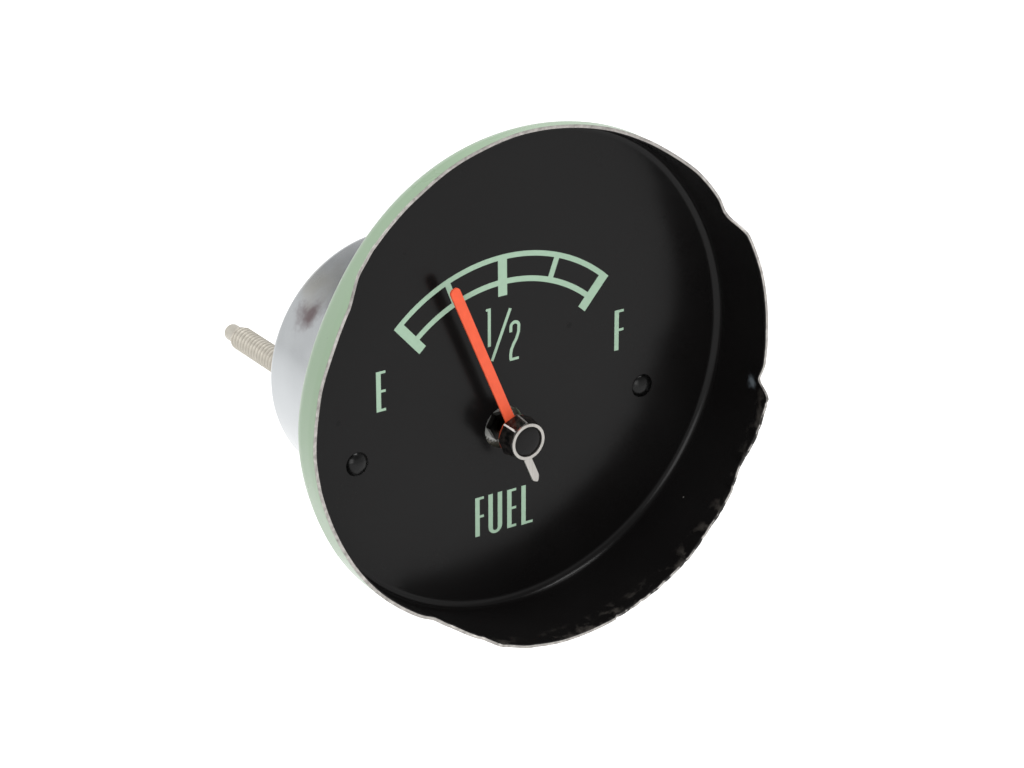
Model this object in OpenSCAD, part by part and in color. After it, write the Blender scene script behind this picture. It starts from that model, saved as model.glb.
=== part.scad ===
// Fuel gauge without bezel or glass: a drawn dial cup with a hand-trimmed rim, a plated can
// riveted behind it, and a two-coil moving-iron movement that carries the pointer.
// The row frame has +Z up and +X to the right as the dial is read, and the dial faces -Y.
// The spindle runs along Y. The origin is on its axis, in the plane where the two terminal
// studs leave their retainers, against which a bracket seats.
// Every sub-part is drawn dial up: z is the height above the dial, and the spindle is at x = y = 0.

/* [Dial cup] */
// Outside diameter of the cup
cup_d = 94.6; // [92:0.2:98]
// Thickness of the cup's sheet
cup_sheet = 0.8; // [0.5:0.1:1.2]
// Inside radius of the bend between the cup's floor and its wall
cup_corner = 3.2; // [1.6:0.1:3.6]
// How far the centre of the cup lies above the spindle
cup_rise = 10.6; // [9:0.1:12]
// How far the centre of the cup lies to the right of the spindle
cup_shift = 2.4; // [0:0.1:3]
// Height added to the whole trimmed rim
rim_lift = 0; // [-1:0.25:4]
// Depth of the small waves that the snips left along the rim
rim_wave = 0.3; // [0:0.05:0.5]
// Diameter of the hole in the dial round the spindle
dial_hole_d = 8.2; // [7.8:0.1:10]

/* [Rivets] */
// Distance between the two rivets
rivet_span = 62.4; // [61:0.1:66]
// Height of the rivets above the spindle
rivet_rise = 0.6; // [0:0.05:3]
// Diameter of a rivet's shank
rivet_d = 3.1; // [2:0.1:3.6]
// Diameter of a rivet's domed head
rivet_head_d = 4.6; // [4.2:0.1:6]
// Height of a rivet's domed head
rivet_head_h = 1.1; // [0.6:0.1:1.8]

/* [Rear can] */
// Outside diameter of the can
can_d = 50.8; // [50:0.2:53]
// Depth from the face of the dial to the rear face of the can
can_depth = 42.4; // [40:0.2:50]
// Thickness of the can's sheet
can_sheet = 0.7; // [0.5:0.05:1]
// Outside radius of the can's rear corner
can_corner = 2; // [1.2:0.1:2.4]
// Width of the flange that seats on the back of the cup
flange_w = 2.8; // [1:0.1:3]
// Radius of the ears that the rivets hold
ear_r = 4.5; // [3.5:0.1:5]

/* [Pointer] */
// Degrees that the pointer stands left of upright
reading = 23; // [-40:1:40]
// Degrees from upright to the stop beyond the empty mark, and to the one beyond the full mark
stop_angle = 46; // [44:1:50]
// Length of the pointer from the spindle to its tip
pointer_len = 33.8; // [28:0.2:36]
// Width of the blade at its boss
blade_root_w = 2.1; // [1.6:0.1:3.4]
// Width of the blade at its tip
blade_tip_w = 2.1; // [1.2:0.1:2.6]
// Thickness of the blade and its boss
blade_t = 0.5; // [0.3:0.05:0.8]
// Height of the blade's front face above the dial
blade_rise = 4.3; // [3:0.1:6]
// Radius of the round boss at the blade's root
boss_r = 3.8; // [3.8:0.1:5]
// Corner radius of the hub's eight-sided front end
hub_front_r = 3.65; // [3.5:0.05:4]
// Corner radius of the hub's eight-sided root
hub_root_r = 4.2; // [4:0.05:4.8]
// Height of the hub
hub_h = 3.35; // [2.6:0.05:5]
// Outside radius of the bright ring on the hub
ring_r = 3.5; // [3.3:0.05:3.5]
// Width of the bright ring
ring_w = 0.6; // [0.4:0.05:1]
// Thickness of the bright ring and its tail
ring_t = 0.4; // [0.2:0.05:0.8]
// Distance from the spindle to the tip of the ring's tail
tail_reach = 8.6; // [6:0.1:12]
// Width of the tail
tail_w = 1.6; // [1:0.1:2.4]

/* [Spindle and bearings] */
// Diameter of the spindle
spindle_d = 1.2; // [0.8:0.1:1.4]
// Radial running clearance of the spindle in its bearings
run_gap = 0.05; // [0.02:0.01:0.1]
// Clearance between pieces that are assembled and never move
fit_gap = 0.02; // [0.01:0.01:0.05]
// Diameter of the front bearing's threaded bush
bush_d = 3.2; // [2.6:0.1:3.4]
// Diameter of the rear bearing screw
rear_bearing_d = 4; // [3:0.1:5]
// Number of teeth round the lock washer behind the dial hole
washer_teeth = 30; // [16:1:36]
// Outside radius of that toothed washer
washer_r = 3.7; // [3.4:0.05:3.8]

/* [Movement] */
// Depth of the bridge's front face behind the dial
bridge_depth = 2.2; // [2.1:0.05:2.5]
// Thickness of the bridge
bridge_t = 1.2; // [0.8:0.1:1.6]
// Width of the bridge strap
bridge_w = 9; // [8:0.5:11]
// Distance between the two pillars
pillar_span = 33; // [32:0.5:36]
// Diameter of a pillar
pillar_d = 4; // [3.4:0.1:5]
// Thickness of the frame plate
plate_t = 1.5; // [1:0.1:2]
// Distance of the frame plate's front face behind the axis of the coils
plate_back = 8; // [7.5:0.1:9]
// Depth of the coils' axis behind the dial
coil_depth = 16; // [15.7:0.1:17]
// Radius of the armature
armature_r = 6; // [5:0.1:6]
// Width of the armature's bar
armature_w = 5; // [3:0.1:6]
// Thickness of the armature along the spindle
armature_t = 5; // [3:0.1:6]
// Air gap between the armature and the pole faces
pole_gap = 0.4; // [0.4:0.05:0.8]
// Radius of the damping disc
damper_r = 9; // [7:0.1:10]

/* [Coils] */
// Angle between each coil's axis and straight down
coil_angle = 45; // [44:0.5:46]
// Diameter of a coil's iron core
core_d = 4.4; // [3.6:0.1:4.8]
// Radius of a bobbin's flanges
bobbin_r = 6.6; // [6.2:0.1:6.7]
// Thickness of a bobbin's flanges and tube
bobbin_t = 0.8; // [0.6:0.05:1]
// Length of a bobbin along its core
bobbin_len = 12.5; // [10:0.1:12.6]
// Radius of the winding
winding_r = 5.9; // [4.5:0.1:6.1]

/* [Terminals] */
// Distance between the two terminal studs
stud_span = 38.1; // [36:0.1:38.4]
// Outside diameter of a stud's thread
stud_d = 4.826; // [4.2:0.002:5]
// Length of a stud behind the rear face of the can
stud_reach = 25.6; // [15:0.2:32]
// Diameter of the reduced end of a stud
stud_dog_d = 3.4; // [2:0.1:3.6]
// Length of the reduced end of a stud
stud_dog_len = 3.8; // [1:0.1:5]
// Radius of a stud's inner head and of its solder tag
stud_head_r = 4.2; // [3.8:0.1:4.5]
// Thickness of a stud's head
stud_head_t = 2.2; // [1.5:0.1:3]
// Radius of the insulating washers
insulator_r = 4.6; // [4.3:0.05:4.6]
// Thickness of the insulating washers
insulator_t = 1.2; // [0.8:0.1:2]
// Radius of the push-on retainer on each stud
retainer_r = 4.3; // [4:0.05:4.6]
// Thickness of the push-on retainer
retainer_t = 0.6; // [0.4:0.05:1]
// Thickness of the solder tags
tag_t = 0.7; // [0.4:0.05:1]
// Diameter of the coil leads
lead_d = 0.7; // [0.5:0.05:0.9]

/* [Frame fixings] */
// Distance between the two screws that hold the movement in the can
frame_screw_span = 29; // [27:0.5:31]
// Diameter of those screws
frame_screw_d = 2.84; // [2.4:0.02:3]
// Outside diameter of the spacers round them
spacer_d = 5.2; // [4.4:0.1:5.8]
// Diameter of the frame screws' heads
frame_head_d = 5.5; // [4.8:0.1:6]
// Height of the frame screws' heads
frame_head_h = 1.6; // [1.2:0.1:2.4]
// Thickness of the lock washers under those heads
lock_t = 0.6; // [0.4:0.05:1]
// Diameter of the small screws in the bridge
bridge_screw_d = 2.2; // [1.6:0.1:2.2]
// Diameter of the stop pins
stop_pin_d = 1.2; // [0.8:0.1:1.4]

/* [Hidden] */

$fn = 64;
eps = 0.01;

cup_r = cup_d / 2;
can_r = can_d / 2;
can_inner_z = -can_depth + can_sheet;
spindle_r = spindle_d / 2;
bush_r = bush_d / 2;
bridge_top = -bridge_depth;
bridge_back = bridge_top - bridge_t;
coil_z = -coil_depth;
plate_top = coil_z - plate_back;
plate_bottom = plate_top - plate_t;
hub_z = blade_rise;
hub_top = hub_z + hub_h;
spindle_top = hub_top - 0.8;
rear_bore_bottom = plate_bottom - 0.5;
spindle_bottom = rear_bore_bottom + 0.3;

// Bobbin, core and lug positions, measured out from the spindle along each coil's axis
pole_face_r = armature_r + pole_gap;
pole_shoe_t = 0.9;
bobbin_start = pole_face_r + pole_shoe_t + 0.1;
lug_r = bobbin_start + bobbin_len + 0.1;
lug_t = 1.5;
lug_half_w = 6;

// The trimmed rim: degrees clockwise from the top of the dial, and height above the dial
rim_points = [
    [-180, 18.2], [-170, 17.7], [-163, 16.7], [-159.5, 13.2], [-154, 8.8], [-150, 7.6],
    [-140, 7.7], [-128, 8.7], [-112, 8.7], [-95, 8.8], [-80, 9.3], [-66, 9.7],
    [-60, 9.6], [-50, 7.2], [-45, 6.7], [-33, 6.4], [-18, 5.7], [0, 4.9],
    [20, 5.3], [32, 7.4], [44, 10.9], [55, 10.9], [58.5, 10.6], [62.5, 14.4],
    [72, 14.6], [88, 14.2], [99, 14.2], [104, 16.9], [112, 16.8], [120.5, 15.9],
    [129, 17], [138, 17.3], [145, 18], [165, 18.2], [180, 18.2]
];
rim_steps = 240;
rim_top = 20 + rim_lift;
wave_from = 104;
wave_to = 167;
wave_pitch = 7;

function ease(t) = t * t * (3 - 2 * t);
function rim_base(a, i = 1) =
    a <= rim_points[i][0]
        ? rim_points[i - 1][1] + (rim_points[i][1] - rim_points[i - 1][1])
            * ease((a - rim_points[i - 1][0]) / (rim_points[i][0] - rim_points[i - 1][0]))
        : rim_base(a, i + 1);
function wave(a) =
    a < wave_from || a > wave_to ? 0 : -rim_wave * abs(sin(180 * (a - wave_from) / wave_pitch));
function rim_height(a) = rim_base(a) + wave(a) + rim_lift;

// Puts a piece that is drawn dial up into the row frame
module in_frame() {
    translate([0, -can_depth - insulator_t - retainer_t, 0])
        rotate([90, 0, 0])
            children();
}

// Copies a piece to the left and the right of the spindle
module left_and_right(span, rise = 0) {
    for (side = [-1, 1])
        translate([side * span / 2, rise, 0])
            children();
}

// Copies a piece above and below the spindle
module above_and_below(span) {
    for (side = [-1, 1])
        translate([0, side * span / 2, 0])
            children();
}

// A ring or washer between two heights
module washer(outer, bore, bottom, top) {
    translate([0, 0, bottom])
        difference() {
            cylinder(r = outer, h = top - bottom);
            translate([0, 0, -1])
                cylinder(r = bore, h = top - bottom + 2);
        }
}

// A spherical cap that stands on z = 0
module dome(radius, height) {
    ball = (radius * radius + height * height) / (2 * height);
    rotate_extrude()
        intersection() {
            translate([0, height - ball])
                circle(r = ball, $fn = 720);
            square([radius, height]);
        }
}

// A hollow body of revolution: a flat end at z = 0, a rounded corner and a straight wall
module drawn_shell(outer, corner, sheet, height) {
    rotate_extrude($fn = 180)
        difference() {
            shell_outline(outer, corner, height);
            translate([0, sheet])
                shell_outline(outer - sheet, corner - sheet, height);
        }
}

module shell_outline(outer, corner, height) {
    square([outer - corner, height]);
    translate([0, corner])
        square([outer, height - corner]);
    translate([outer - corner, corner])
        circle(r = corner, $fn = 96);
}

// The ring of waste metal above the trimmed rim, with its lower face along the cut
module rim_waste() {
    inner = cup_r - cup_sheet - 1;
    outer = cup_r + 1;
    function at(r, a, z) = [r * sin(a), r * cos(a), z];
    angles = [for (i = [0 : rim_steps - 1]) -180 + 360 * i / rim_steps];
    corners = [for (a = angles)
        each [at(inner, a, rim_height(a)), at(outer, a, rim_height(a)),
            at(outer, a, rim_top + 1), at(inner, a, rim_top + 1)]];
    sides = [for (i = [0 : rim_steps - 1], k = [0 : 3])
        let (j = (i + 1) % rim_steps, n = (k + 1) % 4)
            each [[4 * i + k, 4 * j + k, 4 * i + n], [4 * i + n, 4 * j + k, 4 * j + n]]];
    polyhedron(points = corners, faces = sides);
}

// Drawn steel cup whose floor is the dial, cut down by hand to a ragged rim
module dial_cup() {
    color([0.62, 0.74, 0.62])
        in_frame()
            difference() {
                translate([cup_shift, cup_rise, -cup_sheet])
                    drawn_shell(cup_r, cup_corner + cup_sheet, cup_sheet, rim_top + cup_sheet);
                translate([cup_shift, cup_rise, 0])
                    rim_waste();
                translate([0, 0, -cup_sheet - 1])
                    cylinder(d = dial_hole_d, h = cup_sheet + 2);
                left_and_right(rivet_span, rivet_rise)
                    translate([0, 0, -cup_sheet - 1])
                        cylinder(d = rivet_d + 2 * fit_gap, h = cup_sheet + 2);
            }
}

// Two black domed rivets that hold the can's ears to the back of the dial
module dial_rivets() {
    tail_top = -cup_sheet - can_sheet;
    tail_h = 0.8;
    color([0.08, 0.08, 0.08])
        in_frame()
            left_and_right(rivet_span, rivet_rise) {
                dome(rivet_head_d / 2, rivet_head_h);
                translate([0, 0, tail_top - tail_h])
                    cylinder(d = rivet_d, h = tail_h - tail_top);
                translate([0, 0, tail_top])
                    mirror([0, 0, 1])
                        dome(rivet_head_d / 2 + 0.2, tail_h);
            }
}

// Plated can with a flange and two ears, closed at the rear
module rear_can() {
    front = -cup_sheet;
    color([0.78, 0.8, 0.8])
        in_frame()
            difference() {
                union() {
                    translate([0, 0, -can_depth])
                        drawn_shell(can_r, can_corner, can_sheet, can_depth + front);
                    translate([0, 0, front - can_sheet])
                        linear_extrude(can_sheet)
                            flange_outline();
                }
                left_and_right(rivet_span, rivet_rise)
                    translate([0, 0, front - can_sheet - 1])
                        cylinder(d = rivet_d + 2 * fit_gap, h = can_sheet + 2);
                left_and_right(stud_span)
                    translate([0, 0, -can_depth - 1])
                        cylinder(r = insulator_neck_r() + fit_gap, h = can_sheet + 2);
                above_and_below(frame_screw_span)
                    translate([0, 0, -can_depth - 1])
                        cylinder(d = frame_screw_d + 0.2, h = can_sheet + 2);
            }
}

function insulator_neck_r() = stud_d / 2 + 0.8;

module flange_outline() {
    difference() {
        union() {
            circle(r = can_r + flange_w, $fn = 180);
            left_and_right(rivet_span, rivet_rise)
                circle(r = ear_r);
            translate([-rivet_span / 2, rivet_rise - ear_r])
                square([rivet_span, 2 * ear_r]);
        }
        circle(r = can_r - can_sheet, $fn = 180);
    }
}

// Orange blade with a rounded tip and a round boss under the hub
module pointer_blade() {
    tip_r = blade_tip_w / 2;
    color([1, 0.3, 0.15])
        in_frame()
            rotate([0, 0, reading])
                translate([0, 0, blade_rise - blade_t])
                    linear_extrude(blade_t)
                        difference() {
                            union() {
                                circle(r = boss_r);
                                polygon([
                                    [-blade_root_w / 2, 0], [blade_root_w / 2, 0],
                                    [tip_r, pointer_len - tip_r], [-tip_r, pointer_len - tip_r]
                                ]);
                                translate([0, pointer_len - tip_r])
                                    circle(r = tip_r);
                            }
                            circle(r = pointer_bush_r() + fit_gap);
                        }
}

function pointer_bush_r() = spindle_r + 0.6;

// Black eight-sided tapered hub, with a flat side towards the blade
module pointer_hub() {
    color([0.06, 0.06, 0.06])
        in_frame()
            rotate([0, 0, reading + 22.5])
                difference() {
                    translate([0, 0, hub_z])
                        cylinder(r1 = hub_root_r, r2 = hub_front_r, h = hub_h, $fn = 8);
                    translate([0, 0, hub_z - 1])
                        cylinder(r = pointer_bush_r() + fit_gap, h = spindle_top - hub_z + 1 + fit_gap);
                }
}

// Bright ring on the front of the hub, with the balance tail that leans to the left of the blade's line
module hub_ring() {
    tail_lean = 166.5;
    tail_root = 184;
    root = (ring_r - ring_w / 2) * [sin(tail_root), cos(tail_root)];
    tip = tail_reach * [sin(tail_lean), cos(tail_lean)];
    run = tip - root;
    swing = reading - 23;
    color([0.75, 0.75, 0.73])
        in_frame()
            rotate([0, 0, swing])
                translate([0, 0, hub_top])
                    linear_extrude(ring_t)
                        difference() {
                            union() {
                                circle(r = ring_r);
                                translate(root)
                                    rotate(-atan2(run[0], run[1]))
                                        tail_outline(norm(run));
                            }
                            circle(r = ring_r - ring_w);
                        }
}

// The tail is a strip with a blunt point
module tail_outline(length) {
    polygon([
        [-tail_w / 2, 0], [tail_w / 2, 0], [tail_w / 2, length - tail_w * 0.55],
        [tail_w * 0.12, length], [-tail_w * 0.12, length], [-tail_w / 2, length - tail_w * 0.75]
    ]);
}

// Black cap inside the bright ring
module hub_cap() {
    color([0.05, 0.05, 0.05])
        in_frame()
            translate([0, 0, hub_top])
                dome(ring_r - ring_w - fit_gap, ring_t * 0.7);
}

// Brass bush that joins the hub and the blade to the spindle
module pointer_bush() {
    color([0.8, 0.65, 0.3])
        in_frame()
            washer(pointer_bush_r(), spindle_r + fit_gap, 0.4, spindle_top);
}

// Steel spindle that turns in the front and the rear bearing
module spindle() {
    point_h = spindle_r;
    color([0.75, 0.75, 0.78])
        in_frame() {
            translate([0, 0, spindle_bottom + point_h])
                cylinder(r = spindle_r, h = spindle_top - spindle_bottom - point_h);
            translate([0, 0, spindle_bottom])
                cylinder(r1 = spindle_r * 0.3, r2 = spindle_r, h = point_h, $fn = 32);
        }
}

arm_z = bridge_back - 2.2;
arm_t = 0.6;
arm_half_w = 0.8;
arm_reach = 8.2;
stop_pin_orbit = 7;
stop_slack = 0.3;
stop_pin_angle = stop_angle + stop_slack + asin((arm_half_w + stop_pin_d / 2) / stop_pin_orbit);

// Brass arm that meets a stop pin at each end of the scale
module stop_arm() {
    color([0.8, 0.65, 0.3])
        in_frame()
            rotate([0, 0, reading])
                difference() {
                    union() {
                        translate([0, 0, arm_z - arm_t])
                            linear_extrude(arm_t)
                                arm_outline();
                        translate([0, 0, arm_z - arm_t - 0.3])
                            cylinder(r = spindle_r + 1, h = arm_t + 1);
                    }
                    translate([0, 0, arm_z - 3])
                        cylinder(r = spindle_r + fit_gap, h = 6);
                }
}

module arm_outline() {
    translate([-arm_half_w, 0])
        square([2 * arm_half_w, arm_reach - arm_half_w]);
    translate([0, arm_reach - arm_half_w])
        circle(r = arm_half_w);
}

damper_top = bridge_back - 3.8;
damper_t = 0.5;

// Thin aluminium disc that damps the swing of the pointer
module damping_disc() {
    color([0.82, 0.82, 0.84])
        in_frame() {
            washer(damper_r, spindle_r + fit_gap, damper_top - damper_t, damper_top);
            washer(spindle_r + 1.2, spindle_r + fit_gap, damper_top - eps, damper_top + 0.4);
        }
}

// Brass balance weight on the disc, opposite the blade
module counterweight() {
    weight_h = 1.2;
    inner = damper_r - 3.5;
    outer = damper_r - 0.5;
    color([0.8, 0.65, 0.3])
        in_frame()
            rotate([0, 0, reading + 180])
                translate([0, 0, damper_top - damper_t - weight_h])
                    intersection() {
                        washer(outer, inner, 0, weight_h);
                        linear_extrude(weight_h)
                            polygon([[0, 0], [outer, outer], [-outer, outer]]);
                    }
}

// Soft-iron armature between the pole faces
module armature() {
    color([0.45, 0.45, 0.48])
        in_frame()
            rotate([0, 0, reading])
                translate([0, 0, coil_z - armature_t / 2])
                    difference() {
                        linear_extrude(armature_t)
                            intersection() {
                                circle(r = armature_r, $fn = 96);
                                square([armature_w, 2 * armature_r], center = true);
                            }
                        translate([0, 0, -1])
                            cylinder(r = spindle_r + fit_gap, h = armature_t + 2);
                    }
}

// Bright strap across the front of the movement, which carries the front bearing
module front_bridge() {
    end_x = pillar_span / 2;
    color([0.8, 0.8, 0.8])
        in_frame()
            translate([0, 0, bridge_back])
                linear_extrude(bridge_t)
                    difference() {
                        union() {
                            square([pillar_span, bridge_w], center = true);
                            left_and_right(pillar_span)
                                circle(r = bridge_w / 2);
                            circle(r = stop_pin_orbit + 1.5);
                        }
                        circle(r = bush_r + fit_gap);
                        left_and_right(2 * end_x)
                            circle(d = bridge_screw_d + 2 * fit_gap);
                        for (side = [-1, 1])
                            rotate(side * stop_pin_angle)
                                translate([0, stop_pin_orbit])
                                    circle(d = stop_pin_d + 2 * fit_gap);
                    }
}

// Threaded brass bush with a flange behind the bridge
module front_bearing() {
    flange_t = 0.8;
    color([0.8, 0.65, 0.3])
        in_frame() {
            washer(bush_r, spindle_r + run_gap, bridge_back - flange_t, -0.1);
            washer(bush_r + 1, spindle_r + run_gap, bridge_back - flange_t, bridge_back);
        }
}

nut_top = -0.4;
washer_t = 0.5;

// Toothed washer under the front bearing's nut, seen through the hole in the dial
module bearing_lock_washer() {
    tooth_h = 0.55;
    root = washer_r - tooth_h;
    half = 180 / washer_teeth;
    color([0.8, 0.8, 0.8])
        in_frame()
            translate([0, 0, bridge_top])
                linear_extrude(washer_t)
                    difference() {
                        polygon([for (i = [0 : washer_teeth - 1])
                            let (a = 2 * half * i)
                                each [washer_r * [sin(a), cos(a)],
                                    root * [sin(a + half), cos(a + half)]]]);
                        circle(r = bush_r + fit_gap);
                    }
}

// Hexagonal nut that clamps the front bearing to the bridge
module bearing_nut() {
    bottom = bridge_top + washer_t;
    color([0.75, 0.75, 0.78])
        in_frame()
            translate([0, 0, bottom])
                difference() {
                    cylinder(r = bush_r + 1.2, h = nut_top - bottom, $fn = 6);
                    translate([0, 0, -1])
                        cylinder(r = bush_r + fit_gap, h = nut_top - bottom + 2);
                }
}

// Two pins in the bridge that limit the swing
module stop_pins() {
    pin_reach = 3;
    pin_len = bridge_t + pin_reach;
    color([0.75, 0.75, 0.78])
        in_frame()
            for (side = [-1, 1])
                rotate([0, 0, side * stop_pin_angle])
                    translate([0, stop_pin_orbit, bridge_top - pin_len])
                        cylinder(d = stop_pin_d, h = pin_len);
}

pillar_spigot_r = pillar_d / 2 - 0.8;

// Two brass pillars between the frame plate and the bridge
module bridge_pillars() {
    tapped_depth = 5;
    color([0.8, 0.65, 0.3])
        in_frame()
            left_and_right(pillar_span)
                difference() {
                    union() {
                        translate([0, 0, plate_top])
                            cylinder(d = pillar_d, h = bridge_back - plate_top);
                        translate([0, 0, plate_bottom - 0.6])
                            cylinder(r = pillar_spigot_r, h = plate_t + 0.6 + eps);
                        translate([0, 0, plate_bottom - 0.6])
                            cylinder(r = pillar_spigot_r + 0.6, h = 0.6);
                    }
                    translate([0, 0, bridge_back - tapped_depth])
                        cylinder(d = bridge_screw_d + 2 * fit_gap, h = tapped_depth + 1);
                }
}

// Two small slotted screws that hold the bridge
module bridge_screws() {
    head_h = 1;
    head_r = bridge_screw_d / 2 + 1;
    thread_len = 4;
    slot_w = 0.6;
    color([0.75, 0.75, 0.78])
        in_frame()
            left_and_right(pillar_span)
                difference() {
                    union() {
                        translate([0, 0, bridge_back - thread_len])
                            cylinder(d = bridge_screw_d, h = bridge_t + thread_len + eps);
                        translate([0, 0, bridge_top])
                            cylinder(r = head_r, h = head_h);
                    }
                    translate([0, 0, bridge_top + head_h])
                        cube([2 * head_r + 1, slot_w, head_h], center = true);
                }
}

// Turns a piece drawn along +Z so that it lies along one coil's axis, outwards from the spindle
module along_coil(side) {
    translate([0, 0, coil_z])
        rotate([0, 0, side * coil_angle])
            rotate([90, 0, 0])
                children();
}

// Steel frame plate with two lugs that carry the coil cores
module movement_frame() {
    color([0.7, 0.72, 0.7])
        in_frame()
            difference() {
                union() {
                    translate([0, 0, plate_bottom])
                        linear_extrude(plate_t)
                            plate_outline();
                    for (side = [-1, 1])
                        lug(side);
                }
                for (side = [-1, 1])
                    along_coil(side)
                        translate([0, 0, lug_r - 1])
                            cylinder(r = core_spigot_r() + fit_gap, h = lug_t + 2);
            }
}

module plate_outline() {
    reach = lug_r + lug_t;
    difference() {
        union() {
            circle(r = 12);
            square([pillar_span, 8], center = true);
            left_and_right(pillar_span)
                circle(r = 4);
            square([8, frame_screw_span], center = true);
            above_and_below(frame_screw_span)
                circle(r = 4);
            for (side = [-1, 1])
                rotate(side * coil_angle)
                    translate([-lug_half_w, -reach])
                        square([2 * lug_half_w, reach]);
        }
        circle(d = rear_bearing_d + 2 * fit_gap);
        left_and_right(pillar_span)
            circle(r = pillar_spigot_r + fit_gap);
        above_and_below(frame_screw_span)
            circle(d = frame_screw_d + 2 * fit_gap);
    }
}

// One lug: a round-ended tongue bent up from the plate, square to the coil's axis
module lug(side) {
    along_coil(side)
        translate([0, 0, lug_r])
            cylinder(r = lug_half_w, h = lug_t);
    rotate([0, 0, side * coil_angle])
        translate([-lug_half_w, -lug_r - lug_t, plate_top - eps])
            cube([2 * lug_half_w, lug_t, coil_z - plate_top + eps]);
}

function core_spigot_r() = core_d / 2 - 0.5;

// Two soft-iron cores with pole shoes, riveted into the lugs
module coil_cores() {
    color([0.45, 0.45, 0.48])
        in_frame()
            for (side = [-1, 1])
                difference() {
                    along_coil(side) {
                        translate([0, 0, pole_face_r - 0.5])
                            cylinder(d = core_d, h = lug_r - pole_face_r + 0.5);
                        translate([0, 0, pole_face_r - 0.5])
                            cylinder(r = core_d / 2 + 1, h = pole_shoe_t + 0.5);
                        translate([0, 0, lug_r - eps])
                            cylinder(r = core_spigot_r(), h = lug_t + 0.7);
                        translate([0, 0, lug_r + lug_t])
                            cylinder(r = core_spigot_r() + 0.5, h = 0.7);
                    }
                    translate([0, 0, coil_z - bobbin_r])
                        cylinder(r = pole_face_r, h = 2 * bobbin_r, $fn = 96);
                }
}

// Two moulded bobbins on the cores
module coil_bobbins() {
    bore = core_d / 2 + fit_gap;
    color([0.25, 0.17, 0.12])
        in_frame()
            for (side = [-1, 1])
                along_coil(side)
                    difference() {
                        union() {
                            translate([0, 0, bobbin_start])
                                cylinder(r = core_d / 2 + bobbin_t, h = bobbin_len);
                            translate([0, 0, bobbin_start])
                                cylinder(r = bobbin_r, h = bobbin_t);
                            translate([0, 0, bobbin_start + bobbin_len - bobbin_t])
                                cylinder(r = bobbin_r, h = bobbin_t);
                        }
                        translate([0, 0, bobbin_start - 1])
                            cylinder(r = bore, h = bobbin_len + 2);
                    }
}

// One winding of enamelled wire between the flanges of its bobbin
module winding(side) {
    bottom = bobbin_start + bobbin_t + fit_gap;
    top = bobbin_start + bobbin_len - bobbin_t - fit_gap;
    color([0.6, 0.3, 0.12])
        in_frame()
            along_coil(side)
                washer(winding_r, core_d / 2 + bobbin_t + fit_gap, bottom, top);
}

// Winding at the lower left, which draws the pointer to empty
module empty_coil() {
    winding(-1);
}

// Winding at the lower right, which draws the pointer to full
module full_coil() {
    winding(1);
}

rear_bearing_end = plate_bottom - 3.5;

// Slotted brass screw that carries the rear end of the spindle
module rear_bearing() {
    top = plate_top + 0.8;
    color([0.8, 0.65, 0.3])
        in_frame()
            difference() {
                translate([0, 0, rear_bearing_end])
                    cylinder(d = rear_bearing_d, h = top - rear_bearing_end);
                translate([0, 0, rear_bore_bottom])
                    cylinder(r = spindle_r + run_gap, h = 10);
                translate([0, 0, rear_bearing_end])
                    cube([rear_bearing_d + 1, 0.6, 1.6], center = true);
            }
}

// Hexagonal lock nut on the rear bearing screw
module rear_bearing_nut() {
    nut_h = 2;
    color([0.8, 0.65, 0.3])
        in_frame()
            translate([0, 0, plate_bottom - nut_h])
                difference() {
                    cylinder(r = rear_bearing_d / 2 + 2, h = nut_h, $fn = 6);
                    translate([0, 0, -1])
                        cylinder(d = rear_bearing_d + 2 * fit_gap, h = nut_h + 2);
                }
}

// Two spacers between the frame plate and the rear wall of the can
module frame_spacers() {
    color([0.8, 0.65, 0.3])
        in_frame()
            above_and_below(frame_screw_span)
                washer(spacer_d / 2, frame_screw_d / 2 + 0.1, can_inner_z, plate_bottom);
}

// Two slotted screws through the rear wall of the can into the frame plate
module frame_screws() {
    head_z = -can_depth - lock_t;
    color([0.72, 0.73, 0.74])
        in_frame()
            above_and_below(frame_screw_span)
                difference() {
                    union() {
                        translate([0, 0, head_z - eps])
                            cylinder(d = frame_screw_d, h = plate_top - head_z);
                        translate([0, 0, head_z])
                            mirror([0, 0, 1])
                                dome(frame_head_d / 2, frame_head_h);
                    }
                    translate([0, 0, head_z - frame_head_h])
                        cube([frame_head_d + 1, 0.8, 1.6], center = true);
                }
}

// Split lock washers under the heads of the frame screws
module screw_lock_washers() {
    outer = frame_head_d / 2 - 0.1;
    color([0.7, 0.7, 0.72])
        in_frame()
            above_and_below(frame_screw_span)
                difference() {
                    washer(outer, frame_screw_d / 2 + 0.1, -can_depth - lock_t, -can_depth);
                    translate([0, outer, -can_depth - lock_t / 2])
                        rotate([0, 20, 0])
                            cube([0.4, 2 * outer, 2 * lock_t], center = true);
                }
}

stud_end = -can_depth - stud_reach;
stud_shank_r = stud_d / 2 - 0.4;
thread_top = -can_depth - insulator_t - retainer_t;
tag_top = can_inner_z + insulator_t + tag_t;

// Two threaded terminal studs with a reduced end and a head inside the can
module terminal_studs() {
    body_end = stud_end + stud_dog_len;
    end_round = 0.6;
    color([0.8, 0.79, 0.75])
        in_frame()
            left_and_right(stud_span) {
                translate([0, 0, body_end])
                    cylinder(d = stud_d, h = thread_top - body_end);
                translate([0, 0, thread_top - eps])
                    cylinder(r = stud_shank_r, h = tag_top - thread_top + 2 * eps);
                translate([0, 0, tag_top])
                    cylinder(r = stud_head_r - 0.2, h = stud_head_t);
                translate([0, 0, stud_end + end_round])
                    cylinder(d = stud_dog_d, h = stud_dog_len - end_round + eps);
                translate([0, 0, stud_end])
                    cylinder(d1 = stud_dog_d - 2 * end_round, d2 = stud_dog_d, h = end_round, $fn = 48);
            }
}

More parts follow.
